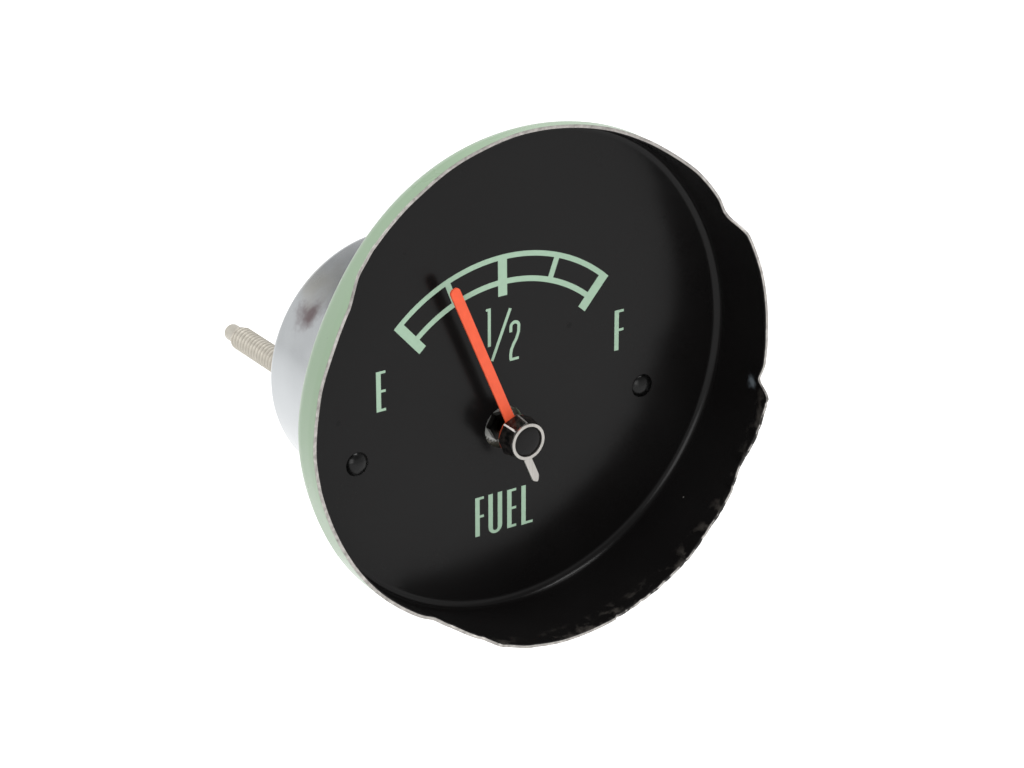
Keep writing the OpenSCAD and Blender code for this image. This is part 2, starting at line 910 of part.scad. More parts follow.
// Solder tags under the stud heads, with tongues that point to the middle
module terminal_tags() {
    color([0.8, 0.65, 0.3])
        in_frame()
            for (side = [-1, 1])
                translate([side * stud_span / 2, 0, tag_top - tag_t])
                    linear_extrude(tag_t)
                        difference() {
                            union() {
                                circle(r = stud_head_r);
                                translate([0, 0])
                                    polygon([[0, 1.4], [0, -1.4],
                                        [-side * tag_reach(), -1], [-side * tag_reach(), 1]]);
                            }
                            circle(r = stud_shank_r + fit_gap);
                        }
}

function tag_reach() = stud_head_r + 3;

// Fibre washers with a neck that keeps each stud clear of the can
module inner_insulators() {
    color([0.35, 0.16, 0.1])
        in_frame()
            left_and_right(stud_span) {
                washer(insulator_r, stud_shank_r + fit_gap, can_inner_z, can_inner_z + insulator_t);
                washer(insulator_neck_r(), stud_shank_r + fit_gap, -can_depth, can_inner_z + eps);
            }
}

// Fibre washers on the studs against the rear face of the can
module outer_insulators() {
    color([0.35, 0.16, 0.1])
        in_frame()
            left_and_right(stud_span)
                washer(insulator_r, stud_shank_r + fit_gap, -can_depth - insulator_t, -can_depth);
}

// Push-on retainers that hold the studs in the can
module stud_retainers() {
    top = -can_depth - insulator_t;
    color([0.7, 0.7, 0.72])
        in_frame()
            left_and_right(stud_span)
                difference() {
                    washer(retainer_r, stud_shank_r + fit_gap, thread_top, top);
                    for (a = [0 : 60 : 300])
                        rotate([0, 0, a])
                            translate([stud_shank_r + 0.6, 0, top - retainer_t / 2])
                                cube([1.4, 0.5, retainer_t + 1], center = true);
                }
}

// A sleeve bunches up a little where its wire bends
bend_swell = 1.15;

// A sleeved wire along a short list of points
module wire(points) {
    for (i = [0 : len(points) - 2])
        let (run = points[i + 1] - points[i], flat = norm([run[0], run[1]]))
            translate(points[i])
                rotate([0, atan2(flat, run[2]), atan2(run[1], run[0])])
                    cylinder(d = lead_d, h = norm(run), $fn = 24);
    for (i = [1 : len(points) - 2])
        translate(points[i])
            sphere(d = lead_d * bend_swell, $fn = 24);
}

// Leads from the bobbins' outer flanges back to the solder tags and the frame
module coil_leads() {
    flange_mid = bobbin_start + bobbin_len - bobbin_t / 2;
    off = bobbin_r + lead_d / 2 + 0.05;
    solder_z = tag_top + lead_d / 2 + 0.02;
    tongue_x = stud_span / 2 - tag_reach() + 1;
    function on_flange(side, edge, z) = [
        side * (sin(coil_angle) * flange_mid + edge * cos(coil_angle) * off),
        -cos(coil_angle) * flange_mid + edge * sin(coil_angle) * off,
        z
    ];
    color([0.55, 0.12, 0.1])
        in_frame() {
            for (side = [-1, 1])
                wire([
                    on_flange(side, 1, coil_z + 1), on_flange(side, 1, plate_bottom - 3),
                    [side * tongue_x, -3, solder_z + 3], [side * tongue_x, 0, solder_z]
                ]);
        }
}

dial_cup();
dial_rivets();
rear_can();
pointer_blade();
pointer_hub();
hub_ring();
hub_cap();
pointer_bush();
spindle();
stop_arm();
damping_disc();
counterweight();
armature();
front_bridge();
front_bearing();
bearing_lock_washer();
bearing_nut();
stop_pins();
bridge_pillars();
bridge_screws();
movement_frame();
coil_cores();
coil_bobbins();
empty_coil();
full_coil();
rear_bearing();
rear_bearing_nut();
coil_leads();
frame_spacers();
frame_screws();
screw_lock_washers();
terminal_studs();
terminal_tags();
inner_insulators();
outer_insulators();
stud_retainers();
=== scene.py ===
"""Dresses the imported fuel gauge: trimmed dial cup, printed dial, pointer, rear can and terminals.

Sizes in the code are in millimetres and "height" is measured forwards from the face of the dial,
so what lies behind the dial has a negative height.
"""
import math

import bpy
from mathutils import Matrix, Vector, noise


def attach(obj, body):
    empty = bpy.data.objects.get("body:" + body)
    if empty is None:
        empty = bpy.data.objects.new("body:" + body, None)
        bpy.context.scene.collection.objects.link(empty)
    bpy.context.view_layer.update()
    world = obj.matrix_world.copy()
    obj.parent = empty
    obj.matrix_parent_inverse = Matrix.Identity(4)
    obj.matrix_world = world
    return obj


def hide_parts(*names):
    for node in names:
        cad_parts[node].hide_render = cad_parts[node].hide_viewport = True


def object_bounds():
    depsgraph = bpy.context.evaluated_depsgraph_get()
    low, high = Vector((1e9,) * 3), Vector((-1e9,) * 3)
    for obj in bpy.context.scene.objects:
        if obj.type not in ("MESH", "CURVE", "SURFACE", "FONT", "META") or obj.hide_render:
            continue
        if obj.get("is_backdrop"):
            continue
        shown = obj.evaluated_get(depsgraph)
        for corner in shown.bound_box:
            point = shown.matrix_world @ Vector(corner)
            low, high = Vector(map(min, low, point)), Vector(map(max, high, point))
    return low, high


bl_info = {
    "name": "Fuel gauge",
    "version": (1, 0, 0),
    "blender": (4, 5, 0),
    "location": "View3D > Sidebar > Gauge",
    "description": "Builds the visible pieces of a fuel gauge over its packed solids",
    "category": "Object",
}

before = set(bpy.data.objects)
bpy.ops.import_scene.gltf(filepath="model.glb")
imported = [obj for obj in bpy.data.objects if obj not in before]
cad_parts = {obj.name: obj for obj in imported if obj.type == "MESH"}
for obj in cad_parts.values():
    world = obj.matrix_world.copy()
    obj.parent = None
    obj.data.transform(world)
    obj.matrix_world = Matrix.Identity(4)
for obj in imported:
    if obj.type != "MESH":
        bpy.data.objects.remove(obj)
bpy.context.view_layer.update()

MM = 0.001
DIAL_Y = -44.2
READING = 23.0

# Drawn cup: outer radius, bends, sheet, and the radii that its floor is divided at
CUP_MIDDLE = (2.4, 10.6)
CUP_R, CUP_CORNER, INNER_BEND, SHEET = 47.3, 3.2, 1.6, 0.8
FLOOR_RADII = (15.0, 28.0, 36.0)
WALL_ROWS, WALL_STEP = 16, 0.94
CUT_WIDTH = 0.6
HOLE_R = 4.1

# The cup is pressed in beyond PRESS_START, and in full from PRESS_REACH further out
PRESS_START, PRESS_REACH = 37.0, 8.0

# Its foot is rounded in beyond FOOT_START, and less so with height, up to FOOT_HEIGHT
FOOT_START, FOOT_HEIGHT = 44.0, 7.0

# Height that keeps the cut edge on its line of sight, for each mm that the wall is pressed in
SIGHT_RIGHT, SIGHT_TOP = 0.925, -0.718

# Pointer: heights, lengths, widths and radii of the blade, its boss, the hub and the ring
BLADE_LOW, BLADE_HIGH, BLADE_EDGE = 3.8, 4.3, 0.06
BLADE_LENGTH, BLADE_ROOT, BLADE_TIP, BLADE_CORNER = 33.9, 1.96, 2.04, 0.85
BOSS_R, BOSS_BORE_R = 3.72, 1.3
HUB_SIDES, HUB_FOOT_R, HUB_TOP_R, HUB_TALL = 8, 4.2, 3.65, 3.35
RING_LOW, RING_HIGH, RING_R, RING_HOLE_R, RING_EDGE = 7.65, 8.05, 3.5, 2.9, 0.07

# Can: radius, rear face, bend and sheet; flange and ears
CAN_R, CAN_REAR, CAN_CORNER, CAN_SHEET = 25.4, -42.4, 2.0, 0.7
FLANGE_LOW, FLANGE_HIGH, FLANGE_R, FLANGE_EDGE = -1.5, -0.81, 28.2, 0.08
RIVET_X, RIVET_Z, EAR_R = 31.2, 0.6, 4.5

# Studs: place, radius over the thread, depth of the thread, and the thread's ends
STUD_X, CREST_R, THREAD_DEPTH = 19.05, 2.413, 0.56
THREAD_START, THREAD_END = -44.2, -64.2

# Camera fitted to the photo: direction, distance in metres, lens and the point that it looks at
CAMERA_AZIMUTH, CAMERA_ELEVATION, CAMERA_DISTANCE = -34.02, 23.48, 0.5302
CAMERA_LENS, CAMERA_SENSOR = 102.7, 36.0
CAMERA_TARGET = (1.79, 0.0, 8.07)


# Small helpers for places, meshes and outlines

def place(x, height, z):
    """A point given by its place on the dial and its height above the dial."""
    return Vector((x * MM, (DIAL_Y - height) * MM, z * MM))


def measured(point, centre=(0.0, 0.0)):
    """The reverse of place: how far right of and above the centre, and how high."""
    return point.x / MM - centre[0], point.z / MM - centre[1], DIAL_Y - point.y / MM


def polar(radius, degrees, centre=(0.0, 0.0)):
    """A point on the dial, with degrees counted clockwise from upright."""
    turn = math.radians(degrees)
    return (centre[0] + radius * math.sin(turn), centre[1] + radius * math.cos(turn))


def deselect():
    """Clears the selection."""
    bpy.ops.object.select_all(action='DESELECT')


def only(piece):
    """Makes the piece the active and only selected object."""
    deselect()
    piece.select_set(True)
    bpy.context.view_layer.objects.active = piece


def settle(piece):
    """Moves the piece's place, turn and size into its mesh."""
    only(piece)
    bpy.ops.object.transform_apply(location=True, rotation=True, scale=True)


def soften(piece, degrees):
    """Shades the piece smooth except over edges sharper than the angle."""
    only(piece)
    bpy.ops.object.shade_smooth_by_angle(angle=math.radians(degrees))


def apply_modifier(piece, kind, **settings):
    """Adds one modifier with its settings and applies it."""
    only(piece)
    modifier = piece.modifiers.new(kind.title(), kind)
    for name, value in settings.items():
        setattr(modifier, name, value)
    bpy.ops.object.modifier_apply(modifier=modifier.name)


def finish_piece(piece, body, material=None, replaced=()):
    """Gives the piece its finish and ties it to its body."""
    if material is not None:
        piece.data.materials.clear()
        piece.data.materials.append(material)
    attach(piece, body)
    if replaced:
        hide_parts(*replaced)


def clean(threshold):
    """Merges doubled points of the mesh being edited, turns its faces outwards and leaves it."""
    bpy.ops.mesh.select_all(action='SELECT')
    bpy.ops.mesh.remove_doubles(threshold=threshold)
    bpy.ops.mesh.normals_make_consistent(inside=False)
    bpy.ops.object.mode_set(mode='OBJECT')


def lathe(name, outline, steps, centre=(0.0, 0.0)):
    """Spins a half section of (radius, height) points about a line along the spindle."""
    deselect()
    bpy.ops.mesh.primitive_plane_add(size=0.001, location=(0.0, 0.0, 0.0))
    piece = bpy.context.object
    piece.name = name
    points = [place(centre[0] + r, h, centre[1]) for r, h in outline]
    bpy.ops.object.mode_set(mode='EDIT')
    bpy.ops.mesh.select_all(action='SELECT')
    bpy.ops.mesh.merge(type='CENTER')
    bpy.ops.transform.translate(value=points[0])
    for here, there in zip(points, points[1:]):
        bpy.ops.mesh.extrude_region_move(TRANSFORM_OT_translate={"value": there - here})
    bpy.ops.mesh.select_all(action='SELECT')
    bpy.ops.mesh.spin(steps=steps, angle=math.tau, center=place(centre[0], 0.0, centre[1]),
                      axis=(0.0, 1.0, 0.0))
    clean(0.002 * MM)
    return piece


def flat_piece(name, outlines, low, high, edge=0.0):
    """A flat piece between two heights, cut to closed outlines of (x, z), holes included."""
    curve = bpy.data.curves.new(name, 'CURVE')
    curve.dimensions = '2D'
    curve.fill_mode = 'BOTH'
    curve.extrude = ((high - low) / 2 - edge) * MM
    curve.bevel_depth = edge * MM
    curve.bevel_resolution = 2
    curve.offset = -edge * MM
    for outline in outlines:
        spline = curve.splines.new('POLY')
        spline.points.add(len(outline) - 1)
        for point, (x, z) in zip(spline.points, outline):
            point.co = (x * MM, z * MM, 0.0, 1.0)
        spline.use_cyclic_u = True
    piece = bpy.data.objects.new(name, curve)
    bpy.context.scene.collection.objects.link(piece)
    only(piece)
    bpy.ops.object.convert(target='MESH')
    piece = bpy.context.object
    piece.matrix_world = Matrix.Translation(place(0.0, (low + high) / 2, 0.0)) @ Matrix.Rotation(
        math.radians(90.0), 4, 'X')
    settle(piece)
    bpy.ops.object.mode_set(mode='EDIT')
    clean(0.001 * MM)
    return piece


def twin(piece, name, shift):
    """A copy of the piece with its own mesh, the shift in mm to the right."""
    only(piece)
    bpy.ops.object.duplicate(linked=False)
    made = bpy.context.object
    made.name = name
    bpy.ops.transform.translate(value=(shift * MM, 0.0, 0.0))
    settle(made)
    return made


def join(pieces, name):
    """Joins several meshes into one piece."""
    only(pieces[0])
    for piece in pieces[1:]:
        piece.select_set(True)
    bpy.ops.object.join()
    pieces[0].name = name
    return pieces[0]


def ring_points(radius, centre=(0.0, 0.0), count=96, start=0.0, end=360.0):
    """Points round a circle or part of one, clockwise from upright."""
    whole = abs(end - start) >= 360.0
    steps = count if whole else count - 1
    return [polar(radius, start + (end - start) * i / steps, centre) for i in range(count)]


def stroke(path, width):
    """The closed outline of a line of even width through the points."""
    half = width / 2
    left, right = [], []
    for i, here in enumerate(path):
        before = path[max(i - 1, 0)]
        after = path[min(i + 1, len(path) - 1)]
        dx, dz = after[0] - before[0], after[1] - before[1]
        size = math.hypot(dx, dz)
        left.append((here[0] - dz / size * half, here[1] + dx / size * half))
        right.append((here[0] + dz / size * half, here[1] - dx / size * half))
    return left + right[::-1]


def bar(degrees, width, inner, outer):
    """A straight bar that lies along a radius of the scale."""
    return stroke([polar(inner, degrees), polar(outer, degrees)], width)


# Shape of the hand-trimmed rim: degrees clockwise from the top of the cup, and height

RIM = (
    (-180, 18.2), (-170, 17.7), (-163, 16.7), (-159.5, 13.2), (-154, 8.8), (-150, 7.6),
    (-140, 7.3), (-128, 8.1), (-112, 8.0), (-95, 8.1), (-80, 8.8), (-66, 9.5),
    (-60, 9.5), (-50, 7.2), (-45, 6.7), (-33, 6.4), (-18, 5.7), (0, 4.9),
    (20, 5.3), (32, 7.4), (44, 10.9), (55, 10.9), (58.5, 10.6), (62.5, 14.4),
    (72, 14.6), (88, 14.2), (99, 14.2), (104, 16.9), (112, 16.8), (120.5, 15.9),
    (129, 17), (138, 17.3), (145, 18), (165, 18.2), (180, 18.2),
)
RIM_LIMIT = 18.18
SNIP_START, SNIP_END, SNIP_PITCH = 104.0, 167.0, 7.0
SNIP_DIP, SNIP_BEND = 0.3, 0.42
TORN_START, TORN_END = 95.0, 170.0

# Bumps round the wall: the middle and the spread in degrees, and how far the wall is pressed in
PRESSED_WALL = ((-62.0, 25.0, 1.25), (-110.0, 14.0, 0.4), (34.0, 19.0, -0.6))
PRESSED_FOOT = ((-55.0, 50.0, 0.75),)
BENT_RIM = ((99.5, 2.2, 0.9), (56.0, 2.5, 0.45), (-151.0, 2.5, 0.35))
BEND_DEPTH = 5.0


def snips(degrees):
    """How far between two snips of the shears a place is, from 0 to 1, or 0 elsewhere."""
    if not SNIP_START < degrees < SNIP_END:
        return 0.0
    return abs(math.sin(math.pi * (degrees - SNIP_START) / SNIP_PITCH))


def ripple(degrees, waves):
    """Smooth noise round the rim that closes on itself, with about that many waves in a turn."""
    turn = math.radians(degrees)
    reach = waves / math.tau
    return noise.noise(Vector((reach * math.sin(turn), reach * math.cos(turn), waves)))


def bumps(degrees, table):
    """How far the bumps of a table press the wall in at a place round the cup."""
    return sum(depth * math.exp(-((degrees - middle) / spread) ** 2)
               for middle, spread, depth in table)


def foot_shift(degrees, height):
    """How far the foot of the wall is rounded in, more than the cut edge, at the upper left."""
    foot = max(0.0, 1.0 - (height + SHEET) / FOOT_HEIGHT)
    return foot * bumps(degrees, PRESSED_FOOT)


def rim_height(degrees, burr):
    """Height of the cut edge, with the fine tears that the shears left."""
    for (low, a), (high, b) in zip(RIM, RIM[1:]):
        if degrees <= high:
            t = (degrees - low) / (high - low)
            height = a + (b - a) * t * t * (3 - 2 * t)
            break
    fine = ripple(degrees, 31.0) + 0.6 * ripple(degrees, 109.0)
    rough = 1.0 if TORN_START < degrees < TORN_END else 0.55
    return min(RIM_LIMIT, height - SNIP_DIP * snips(degrees) + burr * rough * fine)


def rim_bend(degrees, below_rim):
    """How far the wall is bent inwards near the cut edge, fading out over a few millimetres."""
    fade = max(0.0, 1.0 - below_rim / BEND_DEPTH) ** 1.6
    bend = 0.07 * ripple(degrees, 9.0) + bumps(degrees, BENT_RIM)
    if SNIP_START < degrees < SNIP_END:
        bend += SNIP_BEND * (1.0 - snips(degrees)) ** 2
        bend += 0.3 * ripple(degrees, 23.0)
    return max(0.0, bend) * fade


def bend_points(middle, radius, steps):
    """Points round a quarter bend of sheet, from its floor to its wall."""
    turns = [math.radians(90.0) * k / steps for k in range(steps + 1)]
    return [(middle[0] + radius * math.sin(t), middle[1] - radius * math.cos(t)) for t in turns]


# Materials: one function for each, named by its caller for the material and the process

def colour(code):
    """Turns an sRGB hex code into linear red, green, blue and alpha."""
    channels = [int(code[i:i + 2], 16) / 255.0 for i in (1, 3, 5)]
    linear = [c / 12.92 if c <= 0.04045 else ((c + 0.055) / 1.055) ** 2.4 for c in channels]
    return (*linear, 1.0)


def tone(base, factor):
    """A lighter or darker tone of a linear colour."""
    return (*[min(1.0, part * factor) for part in base[:3]], 1.0)


def add(tree, kind, inputs=None, output=0, **settings):
    """Adds a node with its settings, fills or links its inputs, and gives back one output."""
    made = tree.nodes.new("ShaderNode" + kind)
    for name, value in settings.items():
        setattr(made, name, value)
    for key, value in (inputs or {}).items():
        if isinstance(value, bpy.types.NodeSocket):
            tree.links.new(value, made.inputs[key])
        else:
            made.inputs[key].default_value = colour(value) if isinstance(value, str) else value
    return made.outputs[output] if made.outputs else None


def start_material(name, roughness=0.5, metallic=0.0, specular=0.5):
    """A new material, its tree, its Principled shader and the coordinates of the object."""
    made = bpy.data.materials.new(name)
    made.use_nodes = True
    tree = made.node_tree
    shader = tree.nodes["Principled BSDF"]
    shader.inputs["Roughness"].default_value = roughness
    shader.inputs["Metallic"].default_value = metallic
    shader.inputs["Specular IOR Level"].default_value = specular
    return made, tree, shader, add(tree, "TexCoord", output="Object")


def dress(tree, shader, shade, layers, relief=None, gloss=None):
    """Lays colours over the shade, each through its mask, and links the whole to the shader.

    A relief is a pattern, its strength and its depth in mm, and the gloss is a roughness.
    """
    for mask, over in layers:
        shade = add(tree, "Mix", {0: mask, 6: shade, 7: over}, 2, data_type='RGBA')
    tree.links.new(shade, shader.inputs["Base Color"])
    if relief:
        pattern, strength, depth = relief
        bump = add(tree, "Bump", {"Strength": strength, "Distance": depth * MM, "Height": pattern})
        tree.links.new(bump, shader.inputs["Normal"])
    if gloss:
        tree.links.new(gloss, shader.inputs["Roughness"])


def spots(tree, vector, spacing, reach, share):
    """A mask of sparse spots: spacing and radius in mm, and the share of cells that hold one."""
    cells = add(tree, "TexVoronoi", {"Vector": vector, "Scale": 1000.0 / spacing}).node.outputs
    near = add(tree, "MapRange", {0: cells["Distance"], 1: reach / spacing,
                                  2: reach / spacing * 0.6})
    pick = add(tree, "SeparateColor", {0: cells["Color"]})
    chosen = add(tree, "Math", {0: pick, 1: share}, operation='LESS_THAN')
    return add(tree, "Math", {0: near, 1: chosen}, operation='MULTIPLY')


def blot(tree, vector, middle, size):
    """A mask of one ragged blot, its middle and its size in mm."""
    away = add(tree, "VectorMath", {0: vector, 1: [part * MM for part in middle]}, "Value",
               operation='DISTANCE')
    torn = add(tree, "TexNoise", {"Vector": vector, "Scale": 1500.0 / size, "Detail": 7.0,
                                  "Roughness": 0.62})
    ragged = add(tree, "Math", {0: torn, 1: 1.5 * size * MM, 2: away}, operation='MULTIPLY_ADD')
    return add(tree, "MapRange", {0: ragged, 1: 1.75 * size * MM, 2: 0.75 * size * MM},
               interpolation_type='SMOOTHSTEP')


def mottled(name, dark, light, scale, detail, roughness, metallic=0.0, specular=0.5,
            strength=0.0, depth=0.1, stretch=None):
    """A material that wanders between two tones, with the same pattern as its relief."""
    made, tree, shader, where = start_material(name, roughness, metallic, specular)
    if stretch:
        where = add(tree, "Mapping", {"Vector": where, "Scale": stretch})
    pattern = add(tree, "TexNoise", {"Vector": where, "Scale": scale, "Detail": detail})
    dress(tree, shader, dark, [(pattern, light)],
          (pattern, strength, depth) if strength > 0.0 else None)
    return made


def green_enamel(name, base):
    """Stoved enamel sprayed on steel: soft gloss, faint orange peel, rubbed and dusty."""
    made, tree, shader, where = start_material(name)
    shader.inputs["Coat Weight"].default_value = 0.25
    shader.inputs["Coat Roughness"].default_value = 0.15
    # Patches of rubbed paint about 12 mm across
    patches = add(tree, "TexNoise", {"Vector": where, "Scale": 80.0, "Detail": 4.0})
    gloss = add(tree, "MapRange", {0: patches, 1: 0.3, 2: 0.7, 3: 0.24, 4: 0.4})
    # Grime specks about 0.3 mm across
    grime_and_shade = spots(tree, where, spacing=1.6, reach=0.18, share=0.16)
    # Orange peel at 0.8 mm
    peel = add(tree, "TexNoise", {"Vector": where, "Scale": 1200.0, "Detail": 2.0})
    dress(tree, shader, tone(base, 0.94), [(patches, tone(base, 1.08)), (grime_and_shade, "#6F7F6B")],
          (peel, 0.06, 0.2), gloss)
    return made


def satin_black(name):
    """Satin black paint on the dial and inside the cup: fine grain, dust specks and scuffs."""
    made, tree, shader, where = start_material(name, specular=0.14)
    cloud = add(tree, "TexNoise", {"Vector": where, "Scale": 60.0, "Detail": 5.0})
    gloss = add(tree, "MapRange", {0: cloud, 1: 0.3, 2: 0.7, 3: 0.18, 4: 0.26})
    # Dust specks about 0.4 mm across, a little larger than real dust so that they show
    dust = spots(tree, where, spacing=4.5, reach=0.24, share=0.12)
    # Greasy dark marks about a millimetre across
    marks = spots(tree, where, spacing=7.0, reach=0.7, share=0.2)
    # The shears rubbed the paint along the tall part of the rim, over the last few millimetres
    forward = add(tree, "SeparateXYZ", {0: where}, 1)
    near_rim = add(tree, "MapRange", {0: forward, 1: -0.0578, 2: -0.0602})
    chafe = add(tree, "TexNoise", {"Vector": where, "Scale": 330.0, "Detail": 6.0})
    worn = add(tree, "MapRange", {0: chafe, 1: 0.52, 2: 0.72}, interpolation_type='SMOOTHSTEP')
    rubbed = add(tree, "Math", {0: near_rim, 1: worn}, operation='MULTIPLY')
    # One scrape inside the tall wall at the right
    scrape = blot(tree, where, middle=(48.2, -56.2, 1.7), size=1.9)
    grain = add(tree, "TexNoise", {"Vector": where, "Scale": 5000.0, "Detail": 2.0})
    dress(tree, shader, "#0D0C0C", [(cloud, "#141313"), (dust, "#8A8884"), (marks, "#060606"),
                                    (rubbed, "#3B3835"), (scrape, "#626A70")],
          (grain, 0.05, 0.05), gloss)
    return made


def cut_steel(name):
    """Bare sheared steel: bright, torn across the thickness of the sheet."""
    made, tree, shader, where = start_material(name, roughness=0.42, metallic=0.85)
    tears = add(tree, "TexNoise", {"Vector": where, "Scale": 1100.0, "Detail": 7.0})
    # Black paint is dragged over the cut where the wall is tall, at the lower right
    parts = add(tree, "SeparateXYZ", {0: where}).node.outputs
    across = add(tree, "Math", {0: parts[0], 1: parts[2]}, operation='SUBTRACT')
    side = add(tree, "MapRange", {0: across, 1: 0.045, 2: 0.05})
    drag = add(tree, "TexNoise", {"Vector": where, "Scale": 420.0, "Detail": 5.0})
    cover = add(tree, "MapRange", {0: drag, 1: 0.56, 2: 0.5, 4: 0.92})
    paint = add(tree, "Math", {0: side, 1: cover}, operation='MULTIPLY')
    dress(tree, shader, "#4F4A47", [(tears, "#D6D2CD"), (paint, "#151413")], (tears, 0.5, 0.2))
    return made


def dial_ink(name, base):
    """Screen-printed pale green ink: flat, slightly uneven in density."""
    return mottled(name, tone(base, 0.92), tone(base, 1.07), scale=900.0, detail=4.0,
                   roughness=0.5, specular=0.3)


def orange_paint(name, base):
    """Fluorescent orange paint on a stamped blade: flat and very even, with painted shade at the
    boss.
    """
    made, tree, shader, where = start_material(name, roughness=0.45, specular=0.3)
    cover = add(tree, "TexNoise", {"Vector": where, "Scale": 700.0, "Detail": 3.0})
    # Painted shade darkens the edge of the boss below the blade's root, where the hub shades it
    up = add(tree, "SeparateXYZ", {0: where}, 2)
    grime_and_shade = add(tree, "MapRange", {0: up, 1: 0.0027, 2: 0.0019, 4: 0.75})
    dress(tree, shader, tone(base, 0.86), [(cover, tone(base, 1.12)), (grime_and_shade, "#5A2E20")],
          (cover, 0.1, 0.05))
    return made


def deep_black(name, specular, dusty, rough):
    """Polished black moulding, or gloss black lacquer: gloss, with a film of dust in streaks."""
    made, tree, shader, where = start_material(name, specular=specular)
    rubs = add(tree, "TexNoise", {"Vector": where, "Scale": 900.0, "Detail": 4.0})
    film = add(tree, "MapRange", {0: rubs, 1: 0.4, 2: 0.65})
    gloss = add(tree, "MapRange", {0: rubs, 1: 0.35, 2: 0.7, 3: rough, 4: rough + 0.14})
    dress(tree, shader, "#080808", [(film, dusty)], gloss=gloss)
    return made


def edge_highlight_paint(name, base):
    """Painted highlight along an edge: a light colour in patches over black, satin."""
    made, tree, shader, where = start_material(name, roughness=0.4, metallic=0.2)
    highlight_breakup = add(tree, "TexNoise", {"Vector": where, "Scale": 1600.0, "Detail": 4.0})
    highlight_mask = add(tree, "MapRange", {0: highlight_breakup, 1: 0.36, 2: 0.46})
    dress(tree, shader, "#2A2928", [(highlight_mask, base)])
    return made


def bright_plate(name):
    """Bright tin plate drawn over a punch: mirror-like, with soft streaks along the draw."""
    made, tree, shader, where = start_material(name, metallic=1.0)
    # Draw streaks a few tenths of a millimetre wide and some 20 mm long, along the spindle
    along = add(tree, "Mapping", {"Vector": where, "Scale": (1.0, 0.035, 1.0)})
    streaks = add(tree, "TexNoise", {"Vector": along, "Scale": 1500.0, "Detail": 4.0})
    stains = add(tree, "TexNoise", {"Vector": where, "Scale": 130.0, "Detail": 6.0})
    gloss = add(tree, "MapRange", {0: stains, 1: 0.35, 2: 0.75, 3: 0.12, 4: 0.3})
    # A brown stain on the left shoulder, and a fainter one above it
    brown = blot(tree, where, middle=(-20.2, -9.6, 15.2), size=5.0)
    faint = blot(tree, where, middle=(-16.5, -6.5, 19.3), size=7.0)
    dress(tree, shader, "#ABAEB0", [(stains, "#C2C5C7"), (brown, "#716567"), (faint, "#B2B2AE")],
          (streaks, 0.12, 0.04), gloss)
    return made


def rolled_steel(name):
    """Zinc-plated screw steel: warm pale grey and satin."""
    return mottled(name, "#B0AB9F", "#D2CDC2", scale=650.0, detail=5.0, roughness=0.36,
                   metallic=0.8, strength=0.2)


def threaded_steel(name):
    """Zinc-plated threads: matt and warm, with painted shade in the roots, which the mesh marks."""
    made, tree, shader, where = start_material(name, roughness=0.5, metallic=0.45)
    bloom = add(tree, "TexNoise", {"Vector": where, "Scale": 650.0, "Detail": 5.0})
    # Painted shade darkens the roots of the thread, by the depth that the mesh marks
    grime_and_shade = add(tree, "Attribute", output="Fac", attribute_name="grime_and_shade")
    dress(tree, shader, "#BDB8AC", [(bloom, "#D8D3C8"), (grime_and_shade, "#8F877C")], (bloom, 0.2, 0.1))
    return made


def spring_steel(name):
    """Hardened washer steel: grey, satin, with a fine even grain."""
    return mottled(name, "#A6A6A2", "#C8C8C5", scale=2500.0, detail=3.0, roughness=0.5,
                   metallic=0.6)


def satin_aluminium(name):
    """Stamped aluminium, rolled satin: pale, with a faint grain in one direction."""
    return mottled(name, "#95928D", "#BFBCB7", scale=4000.0, detail=3.0, roughness=0.4,
                   metallic=0.9, strength=0.1, depth=0.04, stretch=(1.0, 1.0, 0.06))


def turned_metal(name, dark, light):
    """Turned brass or steel: bright, or darkened nearly to black as painted shade, with fine tool
    rings.
    """
    made, tree, shader, where = start_material(name, roughness=0.28, metallic=1.0)
    tarnish = add(tree, "TexNoise", {"Vector": where, "Scale": 400.0, "Detail": 5.0})
    rings = add(tree, "TexWave", {"Vector": where, "Scale": 1500.0, "Distortion": 0.4},
                wave_type='BANDS', bands_direction='Y')
    dress(tree, shader, dark, [(tarnish, light)], (rings, 0.08, 0.03))
    return made


def soft_iron(name):
    """Annealed soft iron: dark grey scale, dull and slightly pitted."""
    return mottled(name, "#4B4A49", "#858280", scale=800.0, detail=6.0, roughness=0.55,
                   metallic=0.8, strength=0.25)


def wound_copper(name, lean):
    """Enamelled copper wire wound in tight turns of 0.3 mm across the core's axis."""
    made, tree, shader, where = start_material(name, roughness=0.3, metallic=0.6)
    along = add(tree, "Mapping", {"Vector": where, "Rotation": (0.0, math.radians(lean), 0.0)})
    turns = add(tree, "TexWave", {"Vector": along, "Scale": 1050.0, "Distortion": 0.3},
                wave_type='BANDS', bands_direction='Z')
    dress(tree, shader, "#5E2C12", [(turns, "#B4652F")], (turns, 0.5, 0.1))
    return made


def brown_board(name, dark, light):
    """Moulded or pressed insulating board: brown, dull, with a fibrous mottle."""
    return mottled(name, dark, light, scale=1400.0, detail=6.0, roughness=0.55, strength=0.15)


def red_sleeving(name):
    """Varnished woven sleeving on the leads: matt red, with a fine weave."""
    made, tree, shader, where = start_material(name, roughness=0.7)
    weave = add(tree, "TexVoronoi", {"Vector": where, "Scale": 5000.0})
    dress(tree, shader, "#952219", [(weave, "#55100C")])
    return made


def shared(name, make, *values):
    """The named material, made on first use."""
    return bpy.data.materials.get(name) or make(name, *values)


# Settings that a user may change

